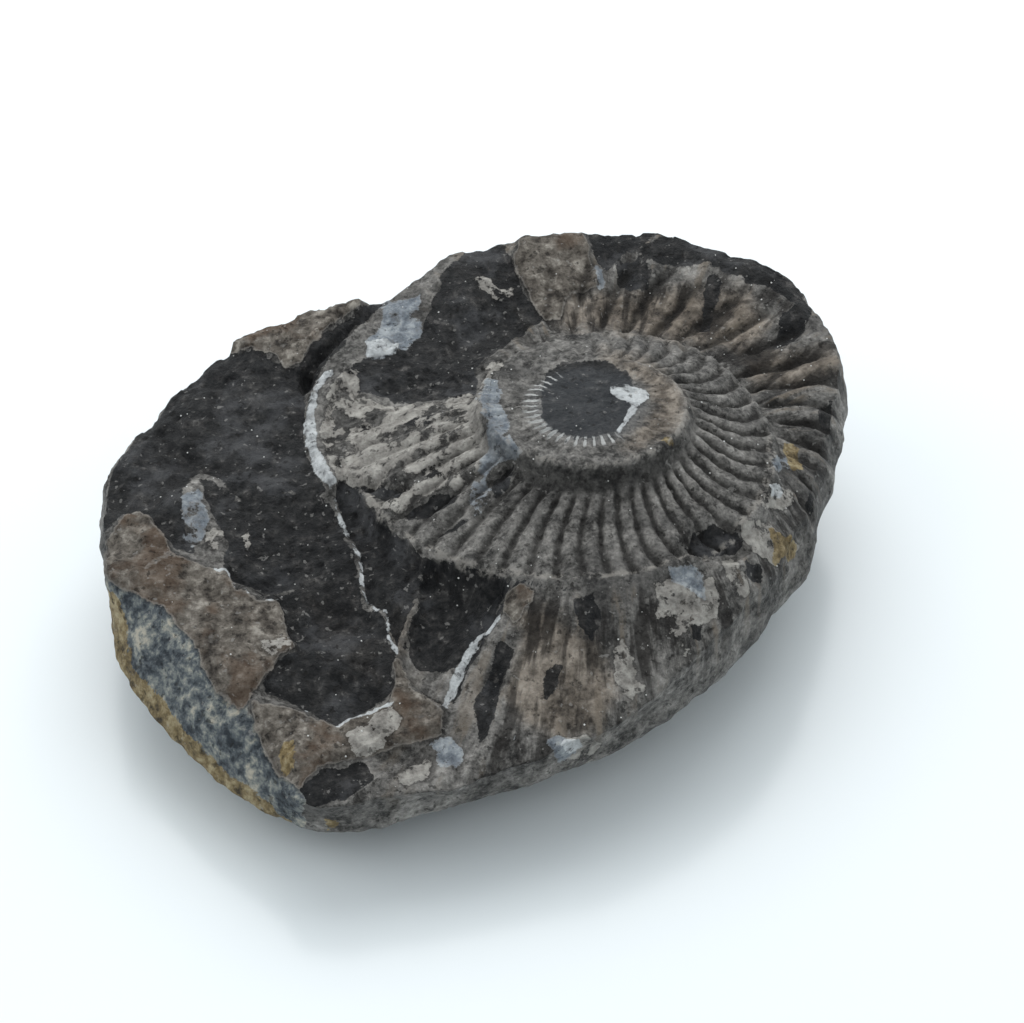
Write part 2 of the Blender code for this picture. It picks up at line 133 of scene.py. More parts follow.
# Heights of the ground round the cone, as spots: direction in degrees, distance and height.
SPOTS = (
    (162, 14.0, 18.4), (160, 20.0, 17.4), (148, 25.0, 17.4), (135, 14.0, 18.6), (130, 19.5, 17.6),
    (118, 25.0, 18.8), (105, 15.0, 18.5), (102, 20.0, 17.8), (98, 25.5, 19.4), (78, 15.2, 18.1),
    (75, 20.0, 17.4), (74, 25.5, 19.0), (50, 16.0, 17.4), (50, 20.0, 16.8), (50, 25.5, 18.3),
    (26, 17.0, 16.6), (25, 20.5, 16.4), (4, 17.6, 16.2), (-20, 17.6, 16.7), (-45, 18.4, 16.7),
    (-66, 19.6, 16.6), (-90, 20.4, 16.8), (-92, 24.5, 14.2), (-103, 20.8, 16.8), (-106, 27.0, 13.0),
    (-113, 21.0, 16.2), (-119, 25.0, 14.0), (-120, 28.5, 12.3), (-135, 22.4, 15.3), (-150, 23.2, 14.7),
    (-160, 24.0, 14.6), (-138, 27.5, 13.4), (-140, 33.5, 12.3), (-150, 30.0, 13.5), (-124, 33.5, 11.0),
    (-152, 37.0, 12.7), (-170, 27.0, 15.2), (-172, 35.0, 14.4), (172, 29.0, 15.9), (168, 36.0, 15.2),
    (152, 31.0, 16.9),
)

# Along the coil: turn, height of the crest, drop of the wall just outside it, depth of the ribs.
COIL = (
    (-1.4, 23.0, 0.0, 0.0), (-1.1, 23.0, 0.1, 0.1), (-0.45, 22.9, 0.15, 0.14), (-0.3, 22.9, 0.3, 0.2),
    (-0.1, 23.0, 0.9, 0.4), (0.05, 23.1, 1.3, 0.5), (0.15, 23.1, 2.0, 0.45), (0.36, 23.1, 2.1, 0.4),
    (0.47, 23.0, 1.2, 0.3), (0.56, 22.2, 0.8, 0.15), (0.63, 21.3, 0.8, 0.0), (0.75, 20.9, 0.8, 0.0),
    (0.84, 20.8, 0.8, 0.0), (0.9, 20.2, 0.8, 0.0), (0.96, 19.0, 0.8, 0.0), (1.02, 18.6, 0.8, 0.0),
    (1.15, 18.5, 0.8, 0.0), (1.25, 18.4, 0.8, 0.0), (1.34, 18.0, 0.8, 0.0), (1.42, 16.9, 0.8, 0.0),
    (1.56, 16.2, 0.8, 0.0),
)
WALL_WIDTH = 1.1
# The streaks round the coil: how many a radian, how many a metre, and their strength by share of a turn.
RAYS_PER_RADIAN = 15.0
RAYS_PER_METRE = 120.0
RAYED_TURNS = ((0.0, 1.0), (0.3, 1.0), (0.36, 0.0), (0.62, 0.0), (0.7, 1.0), (1.0, 1.0))
# One flaking layer, as a share of the layer height.
LAYER_STEP = 0.06
# The flank ends on the left, between these shares of a turn.
FLANK_END = (0.50, 0.60)

# Strength of the ribs outside the cone: share of a turn and strength.
OUTER_RIBS = (
    (0.0, 1.0), (0.08, 0.8), (0.12, 0.5), (0.26, 0.5), (0.3, 0.0), (0.66, 0.0), (0.76, 1.0), (1.0, 1.0),
)

# Layers and hollows of the broken surface: lift, width of the edge, and the outline's corners.
LEDGES = {
    "pale flake": (0.8, 0.5, ((-37.8, -10.0), (-34.2, -11.5), (-32.7, -12.1), (-32.0, -14.3),
        (-28.2, -15.3), (-27.0, -20.0), (-26.1, -21.3), (-29.2, -24.4), (-30.1, -26.3), (-34.0, -25.5),
        (-38.5, -18.0), (-42.0, -14.0))),
    "front layer": (0.7, 0.5, ((-30.1, -26.3), (-25.4, -27.3), (-22.8, -29.1), (-18.0, -26.8),
        (-18.1, -22.8), (-16.4, -25.5), (-13.4, -27.9), (-13.9, -30.0), (-18.5, -31.5), (-25.9, -34.0),
        (-29.0, -31.0))),
    "front facet": (-0.9, 0.6, ((-15.4, -14.0), (-7.6, -18.1), (-8.9, -19.5), (-11.4, -23.1),
        (-13.5, -27.3), (-15.2, -26.5), (-17.4, -22.2), (-16.2, -18.0))),
    "long facet": (-0.5, 0.6, ((-23.2, -2.6), (-20.9, -6.2), (-15.8, -13.5), (-16.0, -16.4), (-17.7, -21.5),
        (-18.8, -17.9), (-20.5, -16.4), (-21.2, -12.0), (-23.7, -4.6))),
    "back flake": (0.5, 0.5, ((-7.1, 28.6), (-0.9, 29.0), (0.5, 24.6), (0.2, 22.8), (-2.0, 22.6),
        (-3.4, 19.1), (-4.8, 19.3), (-7.9, 25.5))),
    "left rim patch": (0.6, 0.5, ((-35.0, 17.6), (-28.8, 21.0), (-21.7, 22.4), (-26.7, 16.0), (-27.5, 13.6),
        (-28.9, 13.5), (-30.7, 15.8))),
    "pale arc": (0.6, 0.6, ((-23.0, 12.0), (-25.4, 11.4), (-26.6, 8.3), (-26.6, 3.0), (-24.1, -4.0),
        (-23.0, -3.0), (-24.9, 2.7), (-24.8, 7.4), (-22.8, 10.3))),
    "cleft": (-1.5, 1.0, ((-20.4, 21.4), (-21.4, 19.6), (-25.9, 13.3), (-27.0, 9.5), (-27.4, 11.6),
        (-26.3, 14.2), (-23.6, 18.2), (-21.4, 21.4))),
    "end block": (0.6, 0.5, ((-46.0, -8.5), (-42.4, -5.2), (-40.1, -5.6), (-37.6, -10.1), (-39.6, -11.7),
        (-41.2, -15.0), (-44.0, -14.5))),
    "pit": (-1.3, 1.2, ((6.2, -14.9), (7.7, -12.6), (9.7, -11.6), (11.9, -12.0), (12.5, -13.0),
        (11.4, -14.2), (8.7, -15.6))),
    "left crust": (0.3, 0.4, ((-22.3, -3.5), (-24.4, 3.9), (-24.1, 8.6), (-16.2, 3.8), (-11.7, 5.2),
        (-9.8, -3.4), (-8.1, -6.6), (-10.1, -9.9), (-15.0, -10.6), (-17.7, -7.3))),
    "upper hollow": (-0.6, 0.6, ((-22.0, -3.3), (-17.8, -5.7), (-16.2, -6.9), (-20.0, -6.0))),
    "lower hollow": (-0.6, 0.6, ((-17.6, -9.0), (-14.2, -7.7), (-12.4, -8.2), (-15.0, -10.0))),
}

# Patches of one colour, as outlines in pixels of the photo.
PATCHES = {
    "black": {
        "left lobe": ((96, 545), (98, 500), (118, 448), (150, 412), (190, 374), (228, 347), (262, 350),
            (285, 366), (300, 365), (312, 345), (350, 312), (372, 302), (345, 345), (318, 375), (306, 400),
            (303, 440), (312, 470), (325, 492), (310, 500), (290, 490), (255, 505), (240, 500), (215, 478),
            (200, 470), (180, 490), (190, 540), (195, 552), (175, 552), (160, 535), (150, 518), (138, 510),
            (122, 517)),
        "long facet": ((340, 482), (365, 500), (392, 528), (420, 552), (418, 590), (405, 625), (397, 648),
            (385, 612), (366, 600), (360, 562), (346, 532), (334, 500)),
        "front facet": ((425, 556), (470, 565), (515, 577), (508, 590), (500, 606), (485, 632), (470, 652),
            (462, 662), (440, 672), (420, 668), (410, 650), (412, 625), (420, 600), (420, 575)),
        "left facet": ((250, 596), (282, 590), (300, 585), (340, 570), (358, 575), (364, 602), (384, 616),
            (396, 655), (392, 665), (394, 690), (388, 700), (355, 712), (335, 728), (305, 708), (285, 700),
            (265, 695), (262, 684), (282, 658), (299, 652), (290, 640), (278, 600)),
        "smooth hollow": ((352, 392), (345, 372), (365, 358), (400, 352), (422, 330), (432, 300),
            (445, 270), (470, 250), (505, 244), (512, 262), (530, 300), (545, 318), (520, 335), (490, 355),
            (478, 375), (476, 392), (450, 396), (420, 400), (390, 398)),
        "pit": ((682, 547), (695, 532), (715, 524), (738, 530), (745, 545), (735, 553), (705, 556)),
        "button": ((541, 392), (545, 374), (560, 365), (590, 360), (615, 366), (630, 378), (640, 395),
            (632, 415), (620, 430), (600, 436), (575, 437), (552, 430), (542, 412)),
        "upper lens": ((352, 484), (375, 482), (400, 488), (415, 493), (400, 500), (376, 496)),
        "lower lens": ((402, 512), (420, 503), (440, 493), (460, 490), (455, 502), (430, 514), (408, 520)),
        "small lens": ((437, 535), (455, 522), (466, 520), (455, 532)),
        "crust hole one": ((355, 425), (372, 420), (372, 432), (358, 436)),
        "crust hole two": ((395, 420), (420, 412), (440, 415), (430, 425), (405, 428)),
        "crust hole three": ((420, 465), (440, 460), (450, 470), (435, 482), (420, 478)),
        "back rim right": ((668, 230), (720, 240), (770, 262), (802, 292), (792, 302), (765, 286),
            (735, 273), (700, 262), (660, 264), (640, 250)),
        "right rim": ((775, 345), (783, 312), (800, 298), (812, 314), (796, 342)),
        "back rim": ((586, 226), (640, 224), (672, 230), (640, 246), (612, 262), (606, 272), (594, 255)),
        "trough one": ((618, 262), (640, 256), (652, 270), (648, 286), (630, 290), (618, 280)),
        "trough two": ((702, 292), (712, 268), (722, 282), (710, 332), (700, 330)),
        "oval hollow": ((490, 498), (492, 480), (505, 468), (515, 462), (508, 485), (498, 502)),
        "front one": ((575, 600), (595, 588), (603, 620), (592, 642), (577, 628)),
        "front two": ((500, 640), (515, 650), (502, 690), (490, 722), (480, 742), (476, 700)),
        "front three": ((545, 670), (560, 665), (556, 690), (545, 700)),
        "right hollow": ((745, 562), (762, 565), (762, 584), (750, 578)),
        "rim hollow": ((805, 490), (818, 495), (816, 515), (808, 510)),
        "low hollow": ((690, 620), (702, 622), (702, 642), (692, 640)),
        "right edge": ((818, 405), (832, 402), (836, 430), (826, 440)),
        "left middle": ((200, 480), (240, 500), (290, 490), (330, 500), (345, 535), (358, 570), (300, 585),
            (262, 596), (232, 585), (225, 565), (226, 540), (212, 515)),
        "front left": ((296, 790), (325, 770), (362, 762), (375, 780), (345, 800), (310, 806)),
    },
    "brown": {
        "trough": ((562, 302), (600, 290), (640, 292), (700, 285), (745, 290), (768, 320), (750, 352),
            (700, 345), (650, 333), (600, 327), (560, 325)),
        "front": ((518, 612), (545, 600), (575, 630), (600, 640), (612, 690), (600, 730), (560, 738),
            (525, 722), (505, 690), (520, 650)),
        "right trough": ((740, 355), (830, 350), (838, 372), (800, 385), (755, 385)),
        "button ring": ((600, 352), (640, 358), (672, 380), (683, 405), (670, 435), (640, 450), (620, 447),
            (640, 425), (652, 405), (640, 380), (615, 365)),
        "left facet": ((300, 590), (350, 585), (372, 640), (390, 690), (330, 660), (310, 620)),
        "front left": ((395, 610), (412, 600), (405, 640), (398, 650), (392, 625)),
    },
    "tan": {
        "pale flake": ((172, 555), (190, 562), (212, 566), (228, 571), (235, 590), (262, 600), (278, 597),
            (284, 618), (290, 640), (299, 652), (280, 658), (262, 682), (250, 700), (240, 712), (215, 690),
            (190, 640), (165, 612), (135, 597), (116, 587), (128, 575), (150, 570)),
        "end block": ((102, 542), (125, 518), (140, 512), (150, 520), (166, 540), (174, 556), (150, 570),
            (130, 580), (116, 587), (104, 575)),
        "back flake": ((520, 236), (585, 232), (592, 262), (600, 275), (597, 290), (580, 287), (565, 300),
            (560, 318), (545, 318), (530, 300), (512, 262)),
        "left rim": ((225, 347), (250, 326), (290, 314), (330, 299), (365, 296), (335, 322), (310, 345),
            (300, 362), (285, 365), (268, 352)),
        "front layer": ((250, 704), (285, 703), (305, 710), (335, 728), (365, 712), (392, 705), (395, 680),
            (392, 662), (398, 655), (412, 690), (440, 703), (447, 712), (440, 735), (410, 745), (385, 752),
            (350, 760), (320, 768), (300, 790), (275, 770), (258, 735)),
        "wedge": ((505, 592), (520, 583), (535, 592), (532, 602), (515, 622), (503, 612)),
    },
    "pale": {
        "left crust": ((350, 487), (338, 482), (326, 455), (322, 425), (328, 398), (345, 370), (358, 372),
            (356, 395), (372, 402), (400, 410), (420, 404), (470, 398), (482, 405), (490, 425), (505, 445),
            (512, 455), (495, 470), (488, 482), (470, 478), (450, 488), (440, 488), (420, 498), (405, 505),
            (400, 490), (375, 484)),
        "crust strip": ((372, 502), (400, 497), (430, 490), (420, 503), (400, 512), (388, 512)),
        "right patch": ((655, 584), (668, 578), (690, 588), (712, 598), (716, 618), (700, 622), (690, 618),
            (688, 640), (694, 655), (690, 664), (680, 650), (683, 638), (665, 640), (655, 632), (657, 600)),
        "right lump": ((762, 488), (775, 483), (788, 492), (790, 503), (775, 512), (764, 505)),
        "right middle": ((740, 520), (760, 522), (775, 530), (790, 540), (800, 548), (790, 556), (770, 560),
            (755, 550), (742, 538)),
        "long streak": ((722, 562), (732, 562), (745, 580), (752, 596), (744, 600), (730, 580)),
        "short streak": ((704, 580), (712, 578), (722, 600), (715, 612), (706, 600)),
        "front lump": ((558, 742), (585, 736), (600, 746), (590, 760), (565, 758)),
        "front left": ((398, 768), (412, 758), (430, 760), (424, 776), (408, 786), (396, 780)),
        "low streak": ((612, 650), (622, 640), (632, 660), (640, 690), (632, 700), (620, 680)),
        "left chip": ((205, 530), (220, 527), (224, 540), (215, 550), (207, 545)),
        "thin chip": ((243, 532), (249, 530), (251, 555), (246, 560)),
        "top chip": ((474, 280), (485, 275), (498, 288), (514, 286), (512, 298), (495, 300), (486, 290)),
        "button lip": ((484, 372), (496, 362), (505, 356), (500, 366), (490, 380), (486, 392)),
        "flake tip": ((262, 640), (290, 640), (299, 652), (280, 658), (265, 652)),
        "layer tip": ((345, 735), (392, 710), (400, 725), (385, 748), (352, 756)),
    },
    "blue": {
        "top patch": ((385, 300), (420, 295), (422, 330), (405, 352), (365, 356), (368, 343), (380, 325)),
        "button side": ((488, 380), (496, 376), (500, 400), (510, 430), (522, 456), (505, 462), (492, 472),
            (486, 482), (478, 470), (490, 450), (484, 420), (480, 400)),
        "flank": ((470, 482), (485, 477), (492, 490), (488, 505), (475, 512), (468, 500)),
        "right": ((668, 566), (690, 560), (702, 575), (704, 598), (690, 588), (672, 582)),
        "far right": ((770, 457), (790, 457), (790, 470), (774, 471)),
        "flake edge": ((590, 258), (603, 270), (606, 290), (597, 291), (597, 275)),
        "left": ((184, 500), (200, 492), (210, 520), (198, 545), (182, 540)),
        "front": ((545, 742), (560, 738), (575, 752), (560, 762)),
        "front left": ((430, 744), (448, 738), (462, 748), (456, 766), (440, 762)),
    },
    "slate": {
        "side": ((106, 578), (150, 592), (196, 632), (222, 682), (252, 714), (284, 756), (302, 796),
            (306, 836), (280, 836), (220, 796), (160, 745), (120, 690), (100, 630)),
    },
    "ochre": {
        "lower edge": ((100, 596), (114, 592), (124, 612), (126, 640), (134, 664), (154, 692), (182, 724),
            (206, 754), (240, 782), (270, 804), (290, 822), (290, 845), (240, 835), (190, 800), (150, 755),
            (110, 695), (92, 640)),
        "layer spot": ((280, 736), (294, 740), (292, 770), (284, 776), (276, 755)),
        "right spot": ((785, 445), (800, 448), (802, 470), (790, 470)),
        "right low spot": ((768, 530), (790, 537), (796, 556), (776, 558)),
        "button spot": ((660, 436), (675, 436), (674, 447), (662, 446)),
        "foot spot": ((325, 818), (340, 816), (342, 828), (328, 830)),
    },
    "white": {
        "arc": ((334, 370), (320, 376), (308, 398), (305, 420), (305, 442), (313, 466), (330, 492),
            (337, 484), (326, 464), (316, 440), (314, 412), (319, 392), (333, 377)),
        "vein": ((486, 632), (478, 647), (470, 658), (462, 676), (455, 692), (447, 709), (442, 706),
            (450, 686), (458, 668), (466, 650), (480, 633)),
        "button": ((608, 386), (620, 382), (634, 387), (646, 391), (649, 399), (641, 406), (634, 414),
            (626, 426), (619, 434), (616, 431), (624, 418), (630, 406), (624, 399), (610, 393)),
        "lump": ((768, 486), (778, 484), (784, 492), (780, 500), (770, 498)),
        "top": ((366, 344), (382, 340), (400, 345), (398, 352), (366, 357)),
        "front": ((512, 736), (516, 734), (517, 748), (513, 749)),
        "front lump": ((562, 744), (578, 740), (584, 748), (568, 754)),
    },
}

# Thin lines in pixels of the photo: colour, half width and points.
LINES = {
    "left ridge": ("white", 1.6, ((331, 490), (336, 508), (345, 530), (353, 546), (360, 560), (362, 580),
        (366, 600), (378, 608))),
    "left ridge foot": ("white", 1.5, ((384, 606), (387, 620), (388, 635), (397, 650))),
    "vein tail": ("white", 1.2, ((500, 615), (486, 634))),
    # Painted shade, drawn in black, along the steps at the gap and by the facet's side.
    "gap": ("black", 2.4, ((520, 578), (506, 600), (490, 622), (482, 642), (466, 668), (452, 700))),
    "facet side": ("black", 2.2, ((422, 560), (421, 590), (422, 605), (414, 626), (404, 645))),
    # Painted shade, drawn in black, in the cleft.
    "cleft": ("black", 4.0, ((376, 300), (350, 330), (325, 352), (308, 380))),
    "layer edge": ("white", 0.9, ((305, 710), (335, 728), (365, 712), (392, 705))),
    "flake edge": ("white", 0.9, ((212, 566), (228, 571), (235, 590), (262, 600), (278, 597))),
    # Painted shade, drawn in black, below the crest.
    "crest gap": ("black", 2.0, ((516, 577), (545, 587), (570, 588), (600, 580))),
}

# White ticks round the button: middle of their ring in millimetres, how many, the ring's edges, the
# direction of its ticked side, and the height above which they show.
TICK_CENTRE = (8.4, 0.0)
TICKS_PER_TURN = 42
TICK_RING = (4.3, 4.7, 5.5, 6.1)
TICK_SIDE = (-0.87, -0.5)
TICK_HEIGHT = (21.6, 22.0)

# What the photo can't see loses its patches: the back's edge from front to back, and the millimetres
# taken off each patch at the back with each ring down the side, on the underside and at its middle.
BACK_EDGE = (-8.0, 6.0)
LOST_A_RING = 0.5
LOST_BELOW = 4.0
LOST_AT_FOOT = 8.0
# The farthest that a patch's distance counts, in millimetres, and a start well outside, in pixels.
FARTHEST = 4.0
WELL_OUTSIDE = -60.0

# The crusts: half width of the edge and height, in millimetres.
CRUSTS = {"pale": (0.15, 0.12), "white": (0.1, 0.14), "tan": (0.15, 0.1), "black": (0.15, -0.1)}

# Noise that moves the stone's points: how fine and how detailed.
RELIEF_NOISE = {"stray": (330.0, 2.0), "wear": (260.0, 4.0), "layers": (150.0, 5.0), "grain": (700.0, 6.0)}

# Noise in the rock's colour: how fine, how detailed and how rough.
ROCK_NOISE = {
    "fine": (3000.0, 5.0, 0.7), "grain": (1100.0, 8.0, 0.65), "flecks": (520.0, 8.0, 0.68),
    "mottle": (260.0, 8.0, 0.62), "broad": (90.0, 5.0, 0.6), "scuffs": (170.0, 7.0, 0.66),
    "rust": (150.0, 6.0, 0.55), "pits": (1300.0, 4.0, 0.6), "dust": (1600.0, 3.0, 0.5),
}

# Tones of each colour, from its darkest to its lightest grain: place on the ramp, and the tone.
TONES = {
    "grey": (
        (0.39, (0.022, 0.0215, 0.021)), (0.45, (0.088, 0.085, 0.080)), (0.51, (0.205, 0.198, 0.186)),
        (0.57, (0.335, 0.322, 0.302)), (0.64, (0.54, 0.525, 0.50)),
    ),
    "brown": ((0.38, (0.045, 0.036, 0.029)), (0.49, (0.195, 0.160, 0.125)), (0.60, (0.40, 0.34, 0.275))),
    "black": (
        (0.40, (0.0035, 0.004, 0.005)), (0.5, (0.0095, 0.0105, 0.012)), (0.57, (0.028, 0.0275, 0.028)),
        (0.65, (0.12, 0.115, 0.11)),
    ),
    "slate": (
        (0.41, (0.033, 0.041, 0.050)), (0.48, (0.108, 0.127, 0.142)), (0.54, (0.26, 0.28, 0.265)),
        (0.61, (0.54, 0.505, 0.42)),
    ),
    "tan": (
        (0.40, (0.035, 0.030, 0.026)), (0.47, (0.108, 0.095, 0.081)), (0.54, (0.20, 0.18, 0.155)),
        (0.63, (0.42, 0.39, 0.345)),
    ),
    "pale": ((0.38, (0.10, 0.095, 0.088)), (0.47, (0.285, 0.27, 0.248)), (0.60, (0.54, 0.52, 0.48))),
    "blue": ((0.38, (0.08, 0.098, 0.122)), (0.48, (0.215, 0.25, 0.29)), (0.6, (0.46, 0.50, 0.53))),
    "ochre": ((0.40, (0.05, 0.036, 0.02)), (0.5, (0.25, 0.185, 0.085)), (0.62, (0.52, 0.44, 0.27))),
    "white": ((0.40, (0.22, 0.23, 0.235)), (0.47, (0.50, 0.52, 0.53)), (0.56, (0.72, 0.75, 0.76))),
}

# How a patch is painted: how far its edge wanders, the most that its distance counts, how strongly
# it covers, and how strongly the painted shade and painted highlight at its edge are drawn.
PAINT = {
    "black": (0.9, 0.4, 0.94, 0.0), "slate": (1.0, 2.0, 0.95, 0.2), "tan": (0.6, 0.35, 1.0, 0.4),
    "pale": (1.15, 0.12, 0.92, 0.35), "blue": (1.1, 0.2, 0.85, 0.2), "ochre": (1.3, 0.5, 0.9, 0.0),
    "white": (0.6, 0.18, 0.92, 0.0),
}
BROWN_STRENGTH = 0.7

# Distances in millimetres over which a patch sets in, its painted shade outside and its painted highlight
# along its rim within.
PATCH_EDGE = (-0.04, 0.04)
SHADE_EDGE = (-0.32, -0.06)
RIM_EDGE = (0.05, 0.2)
EDGE_SHADE = (0.012, 0.011, 0.011, 1.0)
# Colour of the painted highlight along a patch's rim.
EDGE_HIGHLIGHT = (0.42, 0.40, 0.37, 1.0)

# Thin washes over the rock: how strongly each covers, and its colour. Some are painted light: shade between
# the streaks, in the grooves, on the wall below the crest and partly in the pits, and a highlight partly
# along the crests.
WASHES = {
    "dim ground": (0.45, (0.045, 0.044, 0.044)), "shade between streaks": (0.78, (0.014, 0.012, 0.011)),
    "light streak": (0.6, (0.25, 0.21, 0.165)), "scuffs": (0.8, (0.072, 0.074, 0.079)),
    "rust": (0.55, (0.125, 0.080, 0.052)), "groove": (0.72, (0.012, 0.011, 0.01)),
    "wall shade": (0.6, (0.010, 0.010, 0.010)), "crest": (0.75, (0.36, 0.34, 0.31)),
    "button": (0.3, (0.10, 0.11, 0.122)), "unseen side": (0.45, (0.07, 0.061, 0.052)),
    "ticks": (0.85, (0.60, 0.61, 0.60)), "pits": (0.6, (0.010, 0.009, 0.008)),
    "dust": (0.38, (0.42, 0.41, 0.39)),
}

# Where the white grains lie thicker or thinner: middle, spread, size in millimetres and seed.
DUST_MIDDLE = 0.55
DUST_SPREAD = 0.9
DUST_SIZE = 11.0
DUST_SEED = 8

# How far the finished stone stays inside the solid's box, in metres.
BOX_MARGIN = (0.00002, 0.00002, 0.0)

# Lamps: place and size in metres, and share of the power.
LAMPS = {"lamp above": ((0.02, 0.36, 0.42), 0.55, 1.1), "lamp left": ((-0.45, 0.0, 0.35), 0.4, 0.3)}


class StoneSettings(bpy.types.PropertyGroup):
    columns: IntProperty(name="Columns", description="Points round the stone", default=620, min=60)
    top_rings: IntProperty(name="Top rings", description="Rings of points on the top", default=124, min=20)
    side_rings: IntProperty(name="Side rings", description="Rings of points on the side", default=16, min=4)
    under_rings: IntProperty(name="Under rings", description="Rings of points below", default=18, min=4)
    rib_sharpness: FloatProperty(name="Rib sharpness", description="How narrow the grooves are", default=2.2)
    rib_depth: FloatProperty(name="Rib depth", description="Times the depth in the solid", default=1.6)
    ray_height: FloatProperty(
        name="Ray height", description="Height of the streaks round the coil", default=0.0013, unit="LENGTH"
    )
    layer_height: FloatProperty(
        name="Layer height", description="Height of the flaking layers", default=0.0034, unit="LENGTH"
    )
    rib_wander: FloatProperty(
        name="Rib wander", description="How far a rib strays, as a share of a turn", default=0.0022
    )
    grain_height: FloatProperty(
        name="Grain height", description="Height of the rock's grain", default=0.00038, unit="LENGTH"
    )


class GrainSettings(bpy.types.PropertyGroup):
    density: FloatProperty(name="Density", description="Grains per square metre", default=85000.0, min=0)
    smallest: FloatProperty(
        name="Smallest", description="Radius of the smallest grain", default=0.00003, unit="LENGTH"
    )
    largest: FloatProperty(
        name="Largest", description="Radius of the largest grain", default=0.0001, unit="LENGTH"
    )
    seed: IntProperty(name="Seed", description="Seed of the scatter", default=7)
    colour: FloatVectorProperty(
        name="Colour", description="Colour of the grains", default=(0.72, 0.72, 0.70, 1.0), size=4,
        subtype="COLOR", min=0.0, max=1.0,
    )


class StageSettings(bpy.types.PropertyGroup):
    floor_size: FloatProperty(name="Floor size", description="Width of the floor", default=4.0, unit="LENGTH")
    floor_colour: FloatVectorProperty(
        name="Floor colour", description="Colour of the floor", default=(0.80, 0.85, 0.87, 1.0), size=4,
        subtype="COLOR", min=0.0, max=1.0,
    )
    key_power: FloatProperty(name="Key power", description="Power of the lamps", default=1.7, unit="POWER")
    sky: FloatProperty(name="Sky", description="Brightness of the light from all round", default=0.77)
    sky_colour: FloatVectorProperty(
        name="Sky colour", description="Colour of the light from all round", default=(0.93, 0.975, 1.0, 1.0),
        size=4, subtype="COLOR", min=0.0, max=1.0,
    )


def smooth(low, high, value):
    """0 below low, 1 above high, and an even curve between."""
    share = np.clip((value - low) / (high - low), 0, 1)
    return share * share * (3 - 2 * share)


def along_coil(turn, column):
    """A column of COIL read at a turn."""
    return np.interp(turn, [row[0] for row in COIL], [row[column] for row in COIL])


def closed_curve(points, count):
    """Count points on the smooth closed curve through the given ones, evenly spaced along it."""
    points = np.asarray(points, float)
    before = np.roll(points, 1, axis=0)
    after = np.roll(points, -1, axis=0)
    later = np.roll(points, -2, axis=0)
    fine = []
    for share in np.arange(0, 1, 1 / 24):
        square, cube = share ** 2, share ** 3
        fine.append(
            points + 0.5 * (after - before) * share
            + (before - 2.5 * points + 2 * after - 0.5 * later) * square
            + 0.5 * (3 * points - before - 3 * after + later) * cube
        )
    fine = np.stack(fine, axis=1).reshape(-1, points.shape[1])
    looped = np.vstack([fine, fine[:1]])
    lengths = np.hypot(*np.diff(looped[:, :2], axis=0).T)
    travelled = np.concatenate([[0], np.cumsum(lengths)])
    wanted = np.linspace(0, travelled[-1], count, endpoint=False)
    return np.stack([np.interp(wanted, travelled, column) for column in looped.T], axis=1)


def crest_radius(turn):
    return SPIRAL_START * WHORL_GROWTH ** turn


def ground(x, y):
    """The surface round the cone: the smoothest sheet through the upper edge and the spots."""
    points = [row[:2] for row in OUTLINE]
    heights = [row[2] for row in OUTLINE]
    for degrees, distance, height in SPOTS:
        angle = math.radians(degrees)
        points.append((distance * math.cos(angle), distance * math.sin(angle)))
        heights.append(height)
    points = np.asarray(points)
    count = len(points)

    def bend(squared):
        return squared * np.log(squared + 1e-9)

    system = np.zeros((count + 3, count + 3))
    system[:count, :count] = bend(((points[:, None] - points[None]) ** 2).sum(2))
    system[:count, :count] += GROUND_STIFFNESS * np.eye(count)
    system[:count, count] = 1
    system[count, :count] = 1
    system[:count, count + 1:] = points
    system[count + 1:, :count] = points.T
    weights = np.linalg.solve(system, np.append(heights, [0, 0, 0]))
    sheet = weights[count] + weights[count + 1] * x + weights[count + 2] * y
    for (px, py), weight in zip(points, weights):
        sheet = sheet + weight * bend((x - px) ** 2 + (y - py) ** 2)
    return sheet


def lumps(points, size, seed):
    """Even lumps of about this size, between about -1 and 1."""
    chance = np.random.default_rng(seed)
    total = np.zeros(len(points))
    for _ in range(12):
        direction = chance.normal(size=points.shape[1])
        direction *= chance.uniform(0.7, 1.4) / (size * np.linalg.norm(direction))
        total += np.sin(2 * math.pi * (points @ direction + chance.uniform()))
    return total / 4


def uneven(points, sorts):
    """The heights of several sorts of lump, added."""
    return sum(height * lumps(points, size, seed) for size, height, seed in sorts)


def line_distance(x, y, start, end):
    """Distance to a straight line between two points."""
    (ax, ay), (bx, by) = start, end
    share = ((x - ax) * (bx - ax) + (y - ay) * (by - ay)) / ((bx - ax) ** 2 + (by - ay) ** 2)
    share = np.clip(share, 0, 1)
    return np.hypot(x - ax - share * (bx - ax), y - ay - share * (by - ay))


def inside_distance(x, y, corners):
    """Distance to an outline, positive inside it."""
    nearest = np.full(x.shape, np.inf)
    inside = np.zeros(x.shape, bool)
    for start, end in zip(corners, corners[1:] + corners[:1]):
        nearest = np.minimum(nearest, line_distance(x, y, start, end))
        (ax, ay), (bx, by) = start, end
        if ay != by:
            inside ^= ((ay > y) != (by > y)) & (x < ax + (bx - ax) * (y - ay) / (by - ay))
    return np.where(inside, nearest, -nearest)


def rib_wave(turn, ribs):
    """Round ribs with narrow grooves between them, from -1 in a groove to 0 on a rib."""
    wave = 0.5 + 0.5 * np.cos(2 * math.pi * ribs * turn)
    return -(1 - wave) ** 1.6


